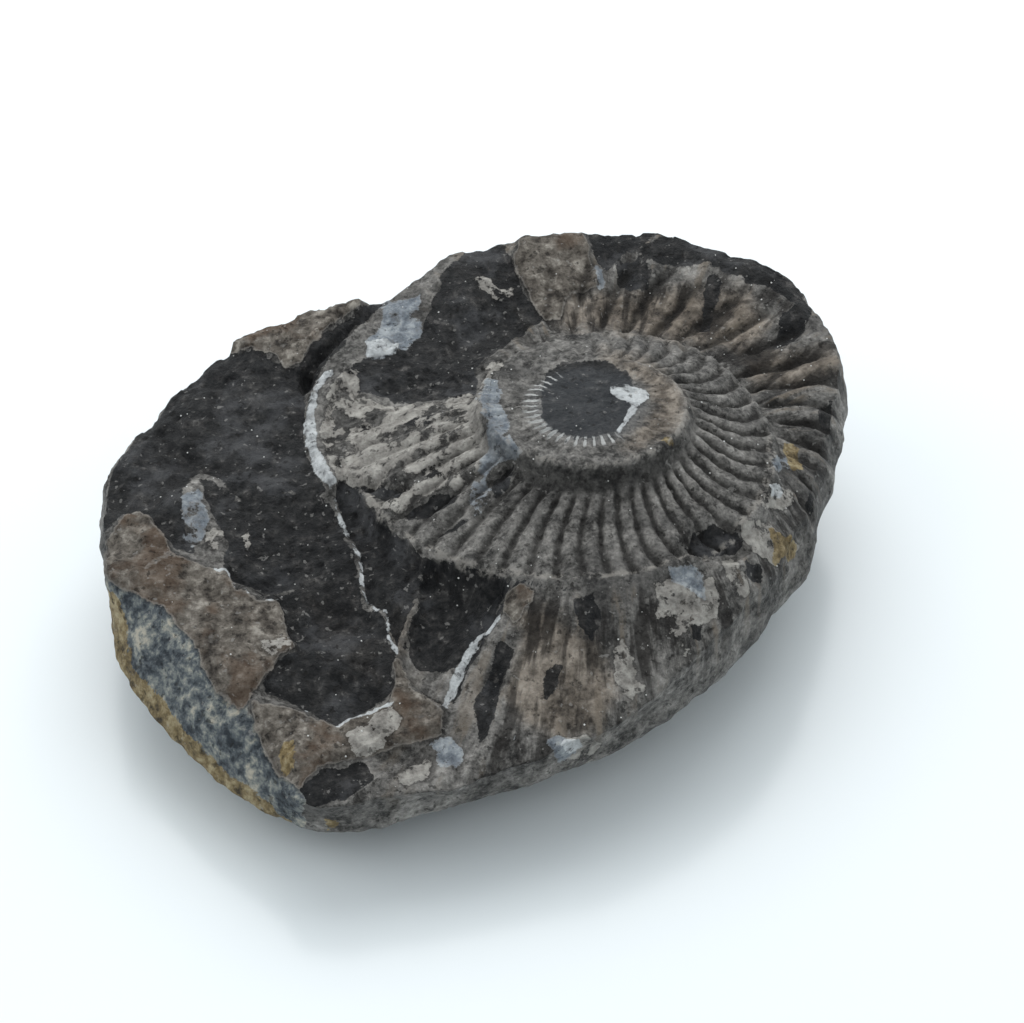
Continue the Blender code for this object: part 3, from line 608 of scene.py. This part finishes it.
def top(x, y):
    """Height of the upper surface without its ribs, and what the ribs and colours need to know."""
    phase = (-np.arctan2(y, x) / (2 * math.pi)) % 1.0
    plain_radius = np.hypot(x, y)
    spaced = np.interp(phase, *zip(*RIB_SPACING))
    ribs = rib_wave(spaced, RIBS_PER_TURN)
    radius = plain_radius - CREST_NOTCH * smooth(10, 14, plain_radius) * ribs
    along = np.log(np.maximum(radius, 0.01) / SPIRAL_START) / math.log(WHORL_GROWTH)
    turn = phase + np.minimum(np.floor(along - phase), 0)
    inner = turn < 0
    start = crest_radius(turn)
    end = crest_radius(turn + 1)
    high = along_coil(turn, 1)
    foot = high - along_coil(turn, 2)
    share = np.clip((radius - start) / (end - start), 0, 1)
    bowed = spaced - np.interp(phase, *zip(*RIB_BOW)) * 4 * share * (1 - share)
    ribs = rib_wave(bowed, RIBS_PER_TURN)
    flank = foot + (along_coil(turn + 1, 1) - foot) * share
    grooved = smooth(0.3, 2.0, radius - start) * smooth(-0.2, 0.3, end - radius)

    last_turn = np.where(phase < sum(FLANK_END) / 2, phase + 1, phase)
    outside = radius - crest_radius(last_turn)
    leaning = phase - OUTER_RIB_LEAN * outside
    strength = np.interp(phase, *zip(*OUTER_RIBS)) * smooth(1.0, 3.0, outside)
    strength = strength * (1 - smooth(24.0, 29.0, radius))
    spots = np.column_stack([x, y])
    land = ground(x, y) + uneven(spots, LAND_LUMPS)

    beyond = np.maximum(smooth(*FLANK_END, phase), smooth(0.0, 0.8, radius - end))
    base = np.where(inner, flank, flank + (land - flank) * beyond)
    wall = smooth(0, WALL_WIDTH, radius - start)
    height = high + (base - high) * wall
    ragged = uneven(spots, LEDGE_LUMPS)
    for lift, width, corners in LEDGES.values():
        height = height + lift * smooth(-width / 2, width / 2, inside_distance(x, y, corners) + ragged)
    on_land = np.where(inner, 0.0, beyond) * wall
    rib_depth = along_coil(turn, 3) * grooved * (1 - on_land) * wall
    outer_depth = OUTER_RIB_DEPTH * strength * on_land
    # How deep a point lies in a rib groove, which the material darkens as painted shade.
    groove = -(rib_depth * ribs + outer_depth * rib_wave(leaning, OUTER_RIBS_PER_TURN)) / 0.45
    below_crest = (1 - smooth(0.5, 2.4, radius - start)) * smooth(0.05, 0.5, radius - start)
    shade = along_coil(turn, 2) / 2 * below_crest * (turn > -0.2) * (turn < 0.5)
    # Bands along the two crest edges, for pale specks and a painted highlight there.
    crest = np.exp(-((radius - start - 0.05) / 0.28) ** 2) * (turn > -0.2) * (turn < 0.62)
    crest = crest + np.exp(-((radius - end + 0.25) / 0.35) ** 2) * (turn >= 0) * (turn < 0.5)
    rays = np.interp(phase, *zip(*RAYED_TURNS))
    known = {
        "rayed": rays * smooth(0.5, 2.0, outside), "layered": (1 - rays) * on_land,
        "rib turn": bowed, "rib depth": rib_depth * MM,
        "outer rib turn": leaning, "outer rib depth": outer_depth * MM,
        "groove": groove, "shade": shade, "crest": crest,
    }
    return height, known


def body_rings(settings):
    """Rings of points over the top, the side and the underside, with the facts known on the top."""
    columns = settings.columns
    edge = closed_curve(OUTLINE, columns)
    rim, belly = edge[:, :3], edge[:, 3:]
    middle = np.array([-COIL_CENTRE[0], -COIL_CENTRE[1]])
    outward = rim[:, :2] - middle
    outward = outward / np.linalg.norm(outward, axis=1)[:, None]
    rim[:, :2] += outward * uneven(rim, RIM_LUMPS)[:, None]
    reach = np.hypot(rim[:, 0], rim[:, 1])
    shares = np.arange(1, settings.top_rings + 1) / settings.top_rings
    plan = (shares[:, None, None] * rim[None, :, :2]).reshape(-1, 2)
    height, known = top(plan[:, 0], plan[:, 1])
    rounding = EDGE_ROUNDING * (1 - smooth(0, EDGE_WIDTH, reach[None] * (1 - shares[:, None])))
    height = height.reshape(-1, columns) - rounding
    plan = plan.reshape(-1, columns, 2)
    rings = [np.column_stack([plan[step], height[step]]) for step in range(settings.top_rings)]
    brow = rings[-1]
    bulge = (belly[:, :2] - brow[:, :2]) * 0.25
    shoulder = (brow + belly) / 2 + np.column_stack([bulge, np.full(columns, 0.5)])
    for step in range(1, settings.side_rings + 1):
        share = step / settings.side_rings
        rings.append(brow * (1 - share) ** 2 + shoulder * 2 * share * (1 - share) + belly * share ** 2)
    angle = np.arctan2(belly[:, 1] - middle[1], belly[:, 0] - middle[0])
    spot = np.column_stack([FLAT_SPOT[0] * np.cos(angle), FLAT_SPOT[1] * np.sin(angle)]) + middle
    flat = np.column_stack([spot, np.zeros(columns)])
    sink = np.column_stack([belly[:, :2] * 0.97 + middle * 0.03, belly[:, 2] * 0.38])
    lead = np.column_stack([(belly[:, :2] + spot) / 2, np.zeros(columns)])
    for step in range(1, settings.under_rings + 1):
        share = step / settings.under_rings
        rest = 1 - share
        rings.append(
            belly * rest ** 3 + sink * 3 * share * rest ** 2
            + lead * 3 * share ** 2 * rest + flat * share ** 3
        )
    below = len(rings) - settings.top_rings
    for step, ring in enumerate(rings[settings.top_rings:-1], 1):
        fade = smooth(0, 4, step) * smooth(0, 8, below - 1 - step)
        ring[:, :2] += outward * (fade * uneven(ring, SIDE_LUMPS))[:, None]
    return rings, known, below


def camera_axes():
    """Forward, right and up of the photo's camera, and its place in millimetres from the flat spot."""
    forward = np.array([0.0, math.cos(CAMERA_TILT), -math.sin(CAMERA_TILT)])
    right = np.array([1.0, 0.0, 0.0])
    up = np.cross(right, forward)
    across = (COIL_PIXEL[0] - PHOTO_CENTRE[0]) / FOCAL_PIXELS
    rise = -(COIL_PIXEL[1] - PHOTO_CENTRE[1]) / FOCAL_PIXELS
    target = np.array([COIL_CENTRE[0], COIL_CENTRE[1], BUTTON_HEIGHT])
    place = target - CAMERA_DISTANCE * (forward + across * right + rise * up)
    return forward, right, up, place


def photo_pixels(points):
    """Where points, in millimetres from the flat spot, lie in the photo."""
    forward, right, up, place = camera_axes()
    offset = points - place
    depth = offset @ forward
    across = PHOTO_CENTRE[0] + FOCAL_PIXELS * (offset @ right) / depth
    down = PHOTO_CENTRE[1] - FOCAL_PIXELS * (offset @ up) / depth
    return across, down


def patch_distances(points, hidden):
    """For each colour, the distance in millimetres into its nearest patch, less where it is hidden."""
    across, down = photo_pixels(points)
    fields = {}
    for colour, outlines in PATCHES.items():
        field = np.full(len(points), WELL_OUTSIDE)
        for corners in outlines.values():
            field = np.maximum(field, inside_distance(across, down, corners))
        fields[colour] = field
    for colour, half_width, line in LINES.values():
        for start, end in zip(line, line[1:]):
            near = half_width - line_distance(across, down, start, end)
            fields[colour] = np.maximum(fields[colour], near)
    return {
        colour: np.clip(field * MM_PER_PIXEL - hidden, -FARTHEST, FARTHEST)
        for colour, field in fields.items()
    }


def stone_mesh(settings):
    """The stone's fine mesh, with what its material and its ribs read stored on its points."""
    rings, known, below = body_rings(settings)
    columns = settings.columns
    shift = np.array([COIL_CENTRE[0], COIL_CENTRE[1], 0.0])
    body = np.concatenate(rings) + shift
    summit = np.array([[0, 0, BUTTON_HEIGHT]]) + shift
    points = np.vstack([summit, body, [[0, 0, 0]]])
    grid = 1 + np.arange(len(rings) * columns).reshape(len(rings), columns)
    beside = np.roll(grid, -1, axis=1)
    quads = np.stack([grid[:-1], beside[:-1], beside[1:], grid[1:]], axis=-1).reshape(-1, 4)
    caps = [(0, int(beside[0, k]), int(grid[0, k])) for k in range(columns)]
    base = len(points) - 1
    caps += [(base, int(grid[-1, k]), int(beside[-1, k])) for k in range(columns)]
    mesh = bpy.data.meshes.new("fossil_stone")
    mesh.from_pydata((points * MM).tolist(), [], quads.tolist() + caps)
    mesh.shade_smooth()

    top_count = settings.top_rings * columns
    side_step = np.repeat(np.arange(1, below + 1), columns)
    behind = smooth(*BACK_EDGE, body[top_count:, 1]) * side_step * LOST_A_RING
    under = smooth(settings.side_rings + 2, settings.side_rings + 8, side_step) * LOST_BELOW
    hidden = np.concatenate([np.zeros(1 + top_count), behind + under, [LOST_AT_FOOT]])
    fading = np.append(1 - smooth(0, settings.side_rings, side_step), 0)
    facts = {}
    for name, value in known.items():
        brow = np.append(np.tile(value[-columns:], below), 0)
        facts[name] = np.concatenate([[0], value, brow if "turn" in name else brow * fading])
    facts.update(patch_distances(points, hidden))
    free = np.concatenate([np.ones(1 + top_count), 1 - smooth(below - 10, below - 3, side_step), [0]])
    crust = sum(height * smooth(-edge, edge, facts[name]) for name, (edge, height) in CRUSTS.items())
    facts["lift"] = crust * free * MM
    facts["free"] = free
    facts["above"] = np.concatenate([np.ones(1 + top_count), np.zeros(below * columns + 1)])
    for name, value in facts.items():
        mesh.attributes.new(name, "FLOAT", "POINT").data.foreach_set("value", value.astype(np.float32))
    return mesh


class Graph:
    """Adds nodes to a tree and joins them by name."""

    def __init__(self, tree):
        self.tree = tree

    def add(self, kind, inputs=None, **settings):
        node = self.tree.nodes.new(kind)
        for name, value in settings.items():
            setattr(node, name, value)
        for name, value in (inputs or {}).items():
            socket = node.inputs[name]
            if isinstance(value, bpy.types.NodeSocket):
                self.tree.links.new(value, socket)
            else:
                socket.default_value = value
        return node

    def maths(self, operation, *values):
        return self.add("ShaderNodeMath", dict(enumerate(values)), operation=operation).outputs[0]

    def minus(self, first, second):
        return self.maths("SUBTRACT", first, second)

    def times(self, first, *others):
        for other in others:
            first = self.maths("MULTIPLY", first, other)
        return first

    def noise(self, place, scale, detail, rough=0.5):
        return self.add("ShaderNodeTexNoise", {
            "Vector": place, "Scale": scale, "Detail": detail, "Roughness": rough,
        }).outputs[0]

    def stored(self, name):
        """A fact stored on the points."""
        if self.tree.bl_idname == "GeometryNodeTree":
            kind = "GeometryNodeInputNamedAttribute"
            return self.add(kind, {"Name": name}, data_type="FLOAT").outputs["Attribute"]
        return self.add("ShaderNodeAttribute", attribute_name=name).outputs["Fac"]

    def round_about(self, place, centre):
        """Angle, distance, x and y of a place about a centre in millimetres."""
        apart = self.add("ShaderNodeSeparateXYZ", {"Vector": place}).outputs
        x = self.minus(apart["X"], centre[0] * MM)
        y = self.minus(apart["Y"], centre[1] * MM)
        plan = self.add("ShaderNodeCombineXYZ", {"X": x, "Y": y}).outputs[0]
        reach = self.add("ShaderNodeVectorMath", {0: plan}, operation="LENGTH").outputs["Value"]
        return self.maths("ARCTAN2", y, x), reach, x, y

    def rays(self, place):
        """Noise drawn out along lines from the coil's centre."""
        angle, reach, _, _ = self.round_about(place, COIL_CENTRE)
        drawn = self.add("ShaderNodeCombineXYZ", {
            "X": self.times(angle, RAYS_PER_RADIAN), "Y": self.times(reach, RAYS_PER_METRE),
        }).outputs[0]
        return self.noise(drawn, 1.0, 6.0, 0.6)

    def close(self, geometry, material):
        """Ends a geometry tree with whole meshes and their material."""
        whole = self.add("GeometryNodeRealizeInstances", {"Geometry": geometry}).outputs[0]
        clad = self.add("GeometryNodeSetMaterial", {"Geometry": whole, "Material": material}).outputs[0]
        self.add("NodeGroupOutput", {"Geometry": clad})


def geometry_tree(name, inputs):
    """A Geometry Nodes tree with one geometry in, one out, and the given named inputs."""
    tree = bpy.data.node_groups.new(name, "GeometryNodeTree")
    tree.interface.new_socket("Geometry", in_out="INPUT", socket_type="NodeSocketGeometry")
    for label, kind in inputs.items():
        tree.interface.new_socket(label, in_out="INPUT", socket_type=kind)
    tree.interface.new_socket("Geometry", in_out="OUTPUT", socket_type="NodeSocketGeometry")
    return tree, Graph(tree)


def rib_tree():
    """Moves the points of the stone by its ribs, crusts and grain."""
    sizes = ("Ribs", "Outer ribs", "Sharpness", "Depth", "Wander", "Rays", "Layers", "Grain")
    inputs = dict.fromkeys(sizes, "NodeSocketFloat")
    tree, graph = geometry_tree("ribs and grain", {**inputs, "Material": "NodeSocketMaterial"})
    given = graph.add("NodeGroupInput").outputs
    times, minus, stored = graph.times, graph.minus, graph.stored
    place = graph.add("GeometryNodeInputPosition").outputs[0]
    noise = {name: graph.noise(place, *fineness) for name, fineness in RELIEF_NOISE.items()}
    stray = times(minus(noise["stray"], 0.5), given["Wander"])
    worn = graph.add("ShaderNodeMapRange", {
        "Value": noise["wear"], "From Min": 0.3, "From Max": 0.6, "To Min": 0.35, "To Max": 1.0,
    }).outputs[0]

    def groove(turn, count, depth):
        angle = times(graph.maths("ADD", stored(turn), stray), count, 2 * math.pi)
        wave = graph.maths("MULTIPLY_ADD", graph.maths("COSINE", angle), -0.5, 0.5)
        shaped = graph.maths("POWER", wave, given["Sharpness"])
        return times(shaped, times(stored(depth), given["Depth"]), worn)

    inner = groove("rib turn", given["Ribs"], "rib depth")
    outer = groove("outer rib turn", given["Outer ribs"], "outer rib depth")
    rise = minus(stored("lift"), graph.maths("ADD", inner, outer))
    streaks = times(minus(graph.rays(place), 0.5), given["Rays"])
    rise = graph.maths("MULTIPLY_ADD", streaks, stored("rayed"), rise)
    layers = times(minus(graph.maths("SNAP", noise["layers"], LAYER_STEP), 0.5), given["Layers"])
    rise = graph.maths("MULTIPLY_ADD", layers, stored("layered"), rise)
    upward = graph.add("ShaderNodeCombineXYZ", {"Z": rise}).outputs[0]
    raised = graph.add("GeometryNodeSetPosition", {"Geometry": given["Geometry"], "Offset": upward})
    height = times(minus(noise["grain"], 0.5), given["Grain"], 2.0, stored("free"))
    normal = graph.add("GeometryNodeInputNormal").outputs[0]
    offset = graph.add("ShaderNodeVectorMath", {0: normal, "Scale": height}, operation="SCALE").outputs[0]
    grained = graph.add("GeometryNodeSetPosition", {"Geometry": raised.outputs[0], "Offset": offset})
    graph.close(grained.outputs[0], given["Material"])
    return tree


def grain_tree():
    """Strews small crystals over the upper side of the mesh it is given."""
    tree, graph = geometry_tree("white grains", {
        "Density": "NodeSocketFloat", "Smallest": "NodeSocketFloat", "Largest": "NodeSocketFloat",
        "Seed": "NodeSocketInt", "Material": "NodeSocketMaterial",
    })
    given = graph.add("NodeGroupInput").outputs
    density = graph.times(graph.stored("above"), graph.stored("dusty"), given["Density"])
    scattered = graph.add("GeometryNodeDistributePointsOnFaces", {
        "Mesh": given["Geometry"], "Density": density, "Seed": given["Seed"],
    }, distribute_method="RANDOM").outputs
    crystal = graph.add("GeometryNodeMeshIcoSphere", {"Radius": 1.0, "Subdivisions": 1}).outputs["Mesh"]
    size = graph.add("FunctionNodeRandomValue", {
        "Min": given["Smallest"], "Max": given["Largest"], "Seed": given["Seed"],
    }, data_type="FLOAT").outputs[1]
    placed = graph.add("GeometryNodeInstanceOnPoints", {
        "Points": scattered["Points"], "Instance": crystal, "Rotation": scattered["Rotation"], "Scale": size,
    }).outputs[0]
    graph.close(placed, given["Material"])
    return tree


def run_tree(thing, tree, values):
    """Gives an object the plain mesh that a tree makes of it."""
    modifier = thing.modifiers.new(tree.name, "NODES")
    modifier.node_group = tree
    for item in tree.interface.items_tree:
        if item.item_type == "SOCKET" and item.in_out == "INPUT" and item.name in values:
            modifier[item.identifier] = values[item.name]
    thing.update_tag()
    view = bpy.context.evaluated_depsgraph_get()
    made = bpy.data.meshes.new_from_object(thing.evaluated_get(view))
    made.name = thing.name
    thing.modifiers.remove(modifier)
    thing.data = made


def rock_material():
    """Black and brown shale with crusts, veins, ochre and a blue-grey side, and painted shade and highlights
    at its grooves, steps and edges.
    """
    material = bpy.data.materials.new("shale")
    material.use_nodes = True
    material.node_tree.nodes.clear()
    graph = Graph(material.node_tree)
    times, stored = graph.times, graph.stored
    place = graph.add("ShaderNodeTexCoord").outputs["Object"]
    noise = {name: graph.noise(place, *fineness) for name, fineness in ROCK_NOISE.items()}
    fine, grain, flecks, mottle = (noise[name] for name in ("fine", "grain", "flecks", "mottle"))
    rays = graph.rays(place)
    rayed = stored("rayed")
    ragged = graph.maths("MULTIPLY_ADD", mottle, 1.6, graph.maths("MULTIPLY_ADD", flecks, 1.0, -1.3))

    def ramp(value, tone):
        node = graph.add("ShaderNodeValToRGB", {"Fac": value})
        elements = node.color_ramp.elements
        while len(elements) < len(TONES[tone]):
            elements.new(0.5)
        for element, (position, colour) in zip(elements, TONES[tone]):
            element.position = position
            element.color = (*colour, 1.0)
        return node.outputs["Color"]

    def blend(share, first, second):
        inputs = {0: share, 6: first, 7: second}
        return graph.add("ShaderNodeMix", inputs, data_type="RGBA").outputs[2]

    def between(value, low, high, least=0.0, most=1.0):
        return graph.add("ShaderNodeMapRange", {
            "Value": value, "From Min": low, "From Max": high, "To Min": least, "To Max": most,
        }, interpolation_type="SMOOTHSTEP").outputs[0]

    def mixed(first, share, second):
        return graph.maths("MULTIPLY_ADD", first, share, times(second, 1 - share))

    def wash(colour, name, where):
        strength, paint = WASHES[name]
        return blend(times(where, strength), colour, (*paint, 1.0))

    def patched(colour, name, paint):
        """Paints the patches of one colour, with a painted highlight along the edge within and a painted line
        of shade outside it.
        """
        wander, most, strength, edge = PAINT[name]
        held = graph.maths("MINIMUM", stored(name), most)
        reach = graph.maths("MULTIPLY_ADD", ragged, wander, held)
        inside = between(reach, *PATCH_EDGE)
        if edge:
            # Painted shade just outside the patch's edge.
            shade = graph.minus(between(reach, *SHADE_EDGE), inside)
            colour = blend(times(shade, edge), colour, EDGE_SHADE)
        colour = blend(times(inside, strength), colour, paint)
        if edge:
            # Painted highlight along the patch's edge, within.
            rim = graph.minus(inside, between(reach, *RIM_EDGE))
            colour = blend(times(rim, edge), colour, EDGE_HIGHLIGHT)
        return colour, inside

    colour = ramp(mixed(mottle, 0.4, mixed(grain, 0.6, fine)), "grey")
    colour = wash(colour, "dim ground", between(noise["broad"], 0.48, 0.36))
    is_brown = between(graph.maths("MULTIPLY_ADD", ragged, 1.5, stored("brown")), -1.0, 1.0)
    colour = blend(times(is_brown, BROWN_STRENGTH), colour, ramp(mixed(grain, 0.5, mottle), "brown"))
    # Painted shade in the hollows between the raised streaks.
    colour = wash(colour, "shade between streaks", times(between(rays, 0.53, 0.40), rayed))
    colour = wash(colour, "light streak", times(between(rays, 0.54, 0.66), rayed))
    speck = mixed(flecks, 0.5, grain)
    black = wash(ramp(speck, "black"), "scuffs", between(noise["scuffs"], 0.50, 0.66))
    colour, _ = patched(colour, "black", black)
    colour, _ = patched(colour, "slate", ramp(mixed(grain, 0.6, mottle), "slate"))
    tan = wash(ramp(speck, "tan"), "rust", between(noise["rust"], 0.52, 0.62))
    colour, is_tan = patched(colour, "tan", tan)
    colour, is_pale = patched(colour, "pale", ramp(speck, "pale"))
    colour, _ = patched(colour, "blue", ramp(speck, "blue"))
    colour, _ = patched(colour, "ochre", ramp(speck, "ochre"))

    # Painted shade in the rib grooves.
    colour = wash(colour, "groove", between(stored("groove"), 0.3, 0.95))
    colour = wash(colour, "wall shade", between(stored("shade"), 0.15, 0.95))
    # Pale specks along the crest edges: partly the stone's pale grains, partly painted highlight.
    crest = times(between(stored("crest"), 0.25, 0.9), between(speck, 0.46, 0.54))
    colour = wash(colour, "crest", crest)
    angle, reach, x, y = graph.round_about(place, TICK_CENTRE)
    height = graph.add("ShaderNodeSeparateXYZ", {"Vector": place}).outputs["Z"]
    raised = between(height, TICK_HEIGHT[0] * MM, TICK_HEIGHT[1] * MM)
    first, second, third, fourth = (edge * MM for edge in TICK_RING)
    colour = wash(colour, "button", times(between(reach, fourth, second), raised))
    unseen = times(between(y, -0.002, 0.014), between(height, 0.015, 0.005))
    colour = wash(colour, "unseen side", unseen)
    colour, is_white = patched(colour, "white", ramp(speck, "white"))
    wave = graph.maths("COSINE", times(angle, TICKS_PER_TURN))
    ticks = between(graph.maths("MULTIPLY_ADD", speck, 5.0, wave), 2.95, 3.2)
    ring = times(between(reach, first, second), between(reach, fourth, third))
    side = graph.maths("MULTIPLY_ADD", x, TICK_SIDE[0], times(y, TICK_SIDE[1]))
    sided = between(graph.maths("DIVIDE", side, reach), -0.1, 0.15)
    colour = wash(colour, "ticks", times(times(ticks, ring), times(sided, raised)))
    # Small pits darkened: partly dark specks of the stone, partly painted shade in the holes.
    pits = between(noise["pits"], 0.40, 0.34)
    colour = wash(colour, "pits", pits)
    colour = wash(colour, "dust", between(noise["dust"], 0.65, 0.70))

    crusts = graph.maths("MAXIMUM", graph.maths("MAXIMUM", is_tan, is_pale), is_white)
    rough = between(crusts, 0.0, 1.0, 0.56, 0.8)
    rough = graph.maths("MULTIPLY_ADD", graph.minus(grain, 0.5), 0.4, rough)
    relief = graph.maths("MULTIPLY_ADD", crusts, 0.5, times(fine, 0.7))
    for value, part in ((grain, 2.0), (pits, -0.25), (flecks, 1.6), (times(rays, rayed), 1.5)):
        relief = graph.maths("MULTIPLY_ADD", value, part, relief)
    bump = graph.add("ShaderNodeBump", {"Strength": 0.9, "Distance": 0.00036, "Height": relief}).outputs[0]
    surface = graph.add("ShaderNodeBsdfPrincipled", {
        "Base Color": colour, "Roughness": rough, "Normal": bump, "Specular IOR Level": 0.18,
    }).outputs[0]
    graph.add("ShaderNodeOutputMaterial", {"Surface": surface})
    return material


def plain_material(name, colour, roughness, scale, strength):
    """A plain material with a little fine unevenness."""
    material = bpy.data.materials.new(name)
    material.use_nodes = True
    graph = Graph(material.node_tree)
    surface = material.node_tree.nodes["Principled BSDF"]
    surface.inputs["Base Color"].default_value = colour
    surface.inputs["Roughness"].default_value = roughness
    place = graph.add("ShaderNodeTexCoord").outputs["Object"]
    height = graph.noise(place, scale, 4.0)
    bump = graph.add("ShaderNodeBump", {"Strength": strength, "Distance": 0.0001, "Height": height})
    material.node_tree.links.new(bump.outputs[0], surface.inputs["Normal"])
    return material


def add_object(name, mesh):
    thing = bpy.data.objects.new(name, mesh)
    bpy.context.scene.collection.objects.link(thing)
    return thing


def read_points(mesh):
    """A mesh's points, one to a row."""
    points = np.empty(len(mesh.vertices) * 3, np.float32)
    mesh.vertices.foreach_get("co", points)
    return points.reshape(-1, 3)


def keep_in_box(mesh):
    """Holds a mesh's points just inside the solid's box."""
    low, high = SOLID_BOX
    margin = np.array(BOX_MARGIN)
    points = np.clip(read_points(mesh), np.array(low) + margin, np.array(high) - margin)
    mesh.vertices.foreach_set("co", points.ravel())
    mesh.update()


class FOSSIL_OT_stone(bpy.types.Operator):
    """Build the split stone"""

    bl_idname = "fossil.stone"
    bl_label = "Stone"

    def execute(self, context):
        settings = context.scene.fossil_stone
        stone = add_object("fossil_stone", stone_mesh(settings))
        run_tree(stone, rib_tree(), {
            "Ribs": float(RIBS_PER_TURN), "Outer ribs": float(OUTER_RIBS_PER_TURN),
            "Sharpness": settings.rib_sharpness, "Depth": settings.rib_depth,
            "Wander": settings.rib_wander, "Rays": settings.ray_height, "Layers": settings.layer_height,
            "Grain": settings.grain_height, "Material": rock_material(),
        })
        keep_in_box(stone.data)
        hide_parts(STONE_NODE)
        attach(stone, "root")
        return {"FINISHED"}


class FOSSIL_OT_grains(bpy.types.Operator):
    """Strew the white grains over the stone"""

    bl_idname = "fossil.grains"
    bl_label = "Grains"

    def execute(self, context):
        settings = context.scene.fossil_grains
        stone = bpy.data.objects["fossil_stone"]
        bed = stone.data.copy()
        uneven_dust = DUST_SPREAD * lumps(read_points(bed) / MM, DUST_SIZE, DUST_SEED)
        dusty = np.clip(DUST_MIDDLE + uneven_dust, 0.02, 1.5)
        bed.attributes.new("dusty", "FLOAT", "POINT").data.foreach_set("value", dusty.astype(np.float32))
        grains = add_object("white_grains", bed)
        crystal = plain_material("calcite", settings.colour, 0.35, 5000.0, 0.3)
        run_tree(grains, grain_tree(), {
            "Density": settings.density, "Smallest": settings.smallest, "Largest": settings.largest,
            "Seed": settings.seed, "Material": crystal,
        })
        keep_in_box(grains.data)
        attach(grains, "root")
        return {"FINISHED"}


class FOSSIL_OT_stage(bpy.types.Operator):
    """Set the floor, the light and the photo's camera"""

    bl_idname = "fossil.stage"
    bl_label = "Stage"

    def execute(self, context):
        settings = context.scene.fossil_stage
        scene = context.scene
        bpy.ops.mesh.primitive_plane_add(size=settings.floor_size)
        floor = context.object
        floor.name = "floor"
        floor.data.materials.append(plain_material("pale floor", settings.floor_colour, 0.2, 40.0, 0.03))

        forward, right, up, place = camera_axes()
        camera = bpy.data.objects.new("camera", bpy.data.cameras.new("camera"))
        scene.collection.objects.link(camera)
        turned = Matrix((right, up, -forward)).transposed().to_4x4()
        camera.matrix_world = Matrix.Translation(Vector(place) * MM) @ turned
        camera.data.sensor_width = SENSOR_WIDTH
        camera.data.lens = FOCAL_PIXELS / (2 * PHOTO_CENTRE[0]) * SENSOR_WIDTH
        camera.data.clip_start = 0.01
        scene.camera = camera

        for name, (location, size, share) in LAMPS.items():
            lamp = bpy.data.lights.new(name, "AREA")
            lamp.size = size
            lamp.energy = settings.key_power * share
            lamp_object = bpy.data.objects.new(name, lamp)
            lamp_object.location = location
            lamp_object.rotation_euler = (-Vector(location)).to_track_quat("-Z", "Y").to_euler()
            scene.collection.objects.link(lamp_object)
        world = bpy.data.worlds.new("studio")
        world.use_nodes = True
        sky = world.node_tree.nodes["Background"]
        sky.inputs["Color"].default_value = settings.sky_colour
        sky.inputs["Strength"].default_value = settings.sky
        scene.world = world
        scene.view_settings.view_transform = "Standard"
        return {"FINISHED"}


class FOSSIL_PT_panel(bpy.types.Panel):
    bl_label = "Fossil"
    bl_idname = "FOSSIL_PT_panel"
    bl_space_type = "VIEW_3D"
    bl_region_type = "UI"
    bl_category = "Fossil"

    def draw(self, context):
        for group in (context.scene.fossil_stone, context.scene.fossil_grains, context.scene.fossil_stage):
            for name in group.__annotations__:
                self.layout.prop(group, name)
        for operator in (FOSSIL_OT_stone, FOSSIL_OT_grains, FOSSIL_OT_stage):
            self.layout.operator(operator.bl_idname)


CLASSES = (
    StoneSettings, GrainSettings, StageSettings, FOSSIL_OT_stone, FOSSIL_OT_grains, FOSSIL_OT_stage,
    FOSSIL_PT_panel,
)


def register():
    for item in CLASSES:
        bpy.utils.register_class(item)
    bpy.types.Scene.fossil_stone = PointerProperty(type=StoneSettings)
    bpy.types.Scene.fossil_grains = PointerProperty(type=GrainSettings)
    bpy.types.Scene.fossil_stage = PointerProperty(type=StageSettings)


def unregister():
    del bpy.types.Scene.fossil_stone
    del bpy.types.Scene.fossil_grains
    del bpy.types.Scene.fossil_stage
    for item in reversed(CLASSES):
        bpy.utils.unregister_class(item)


def main():
    register()
    bpy.ops.fossil.stone()
    bpy.ops.fossil.grains()
    bpy.ops.fossil.stage()


if __name__ == "__main__":
    main()
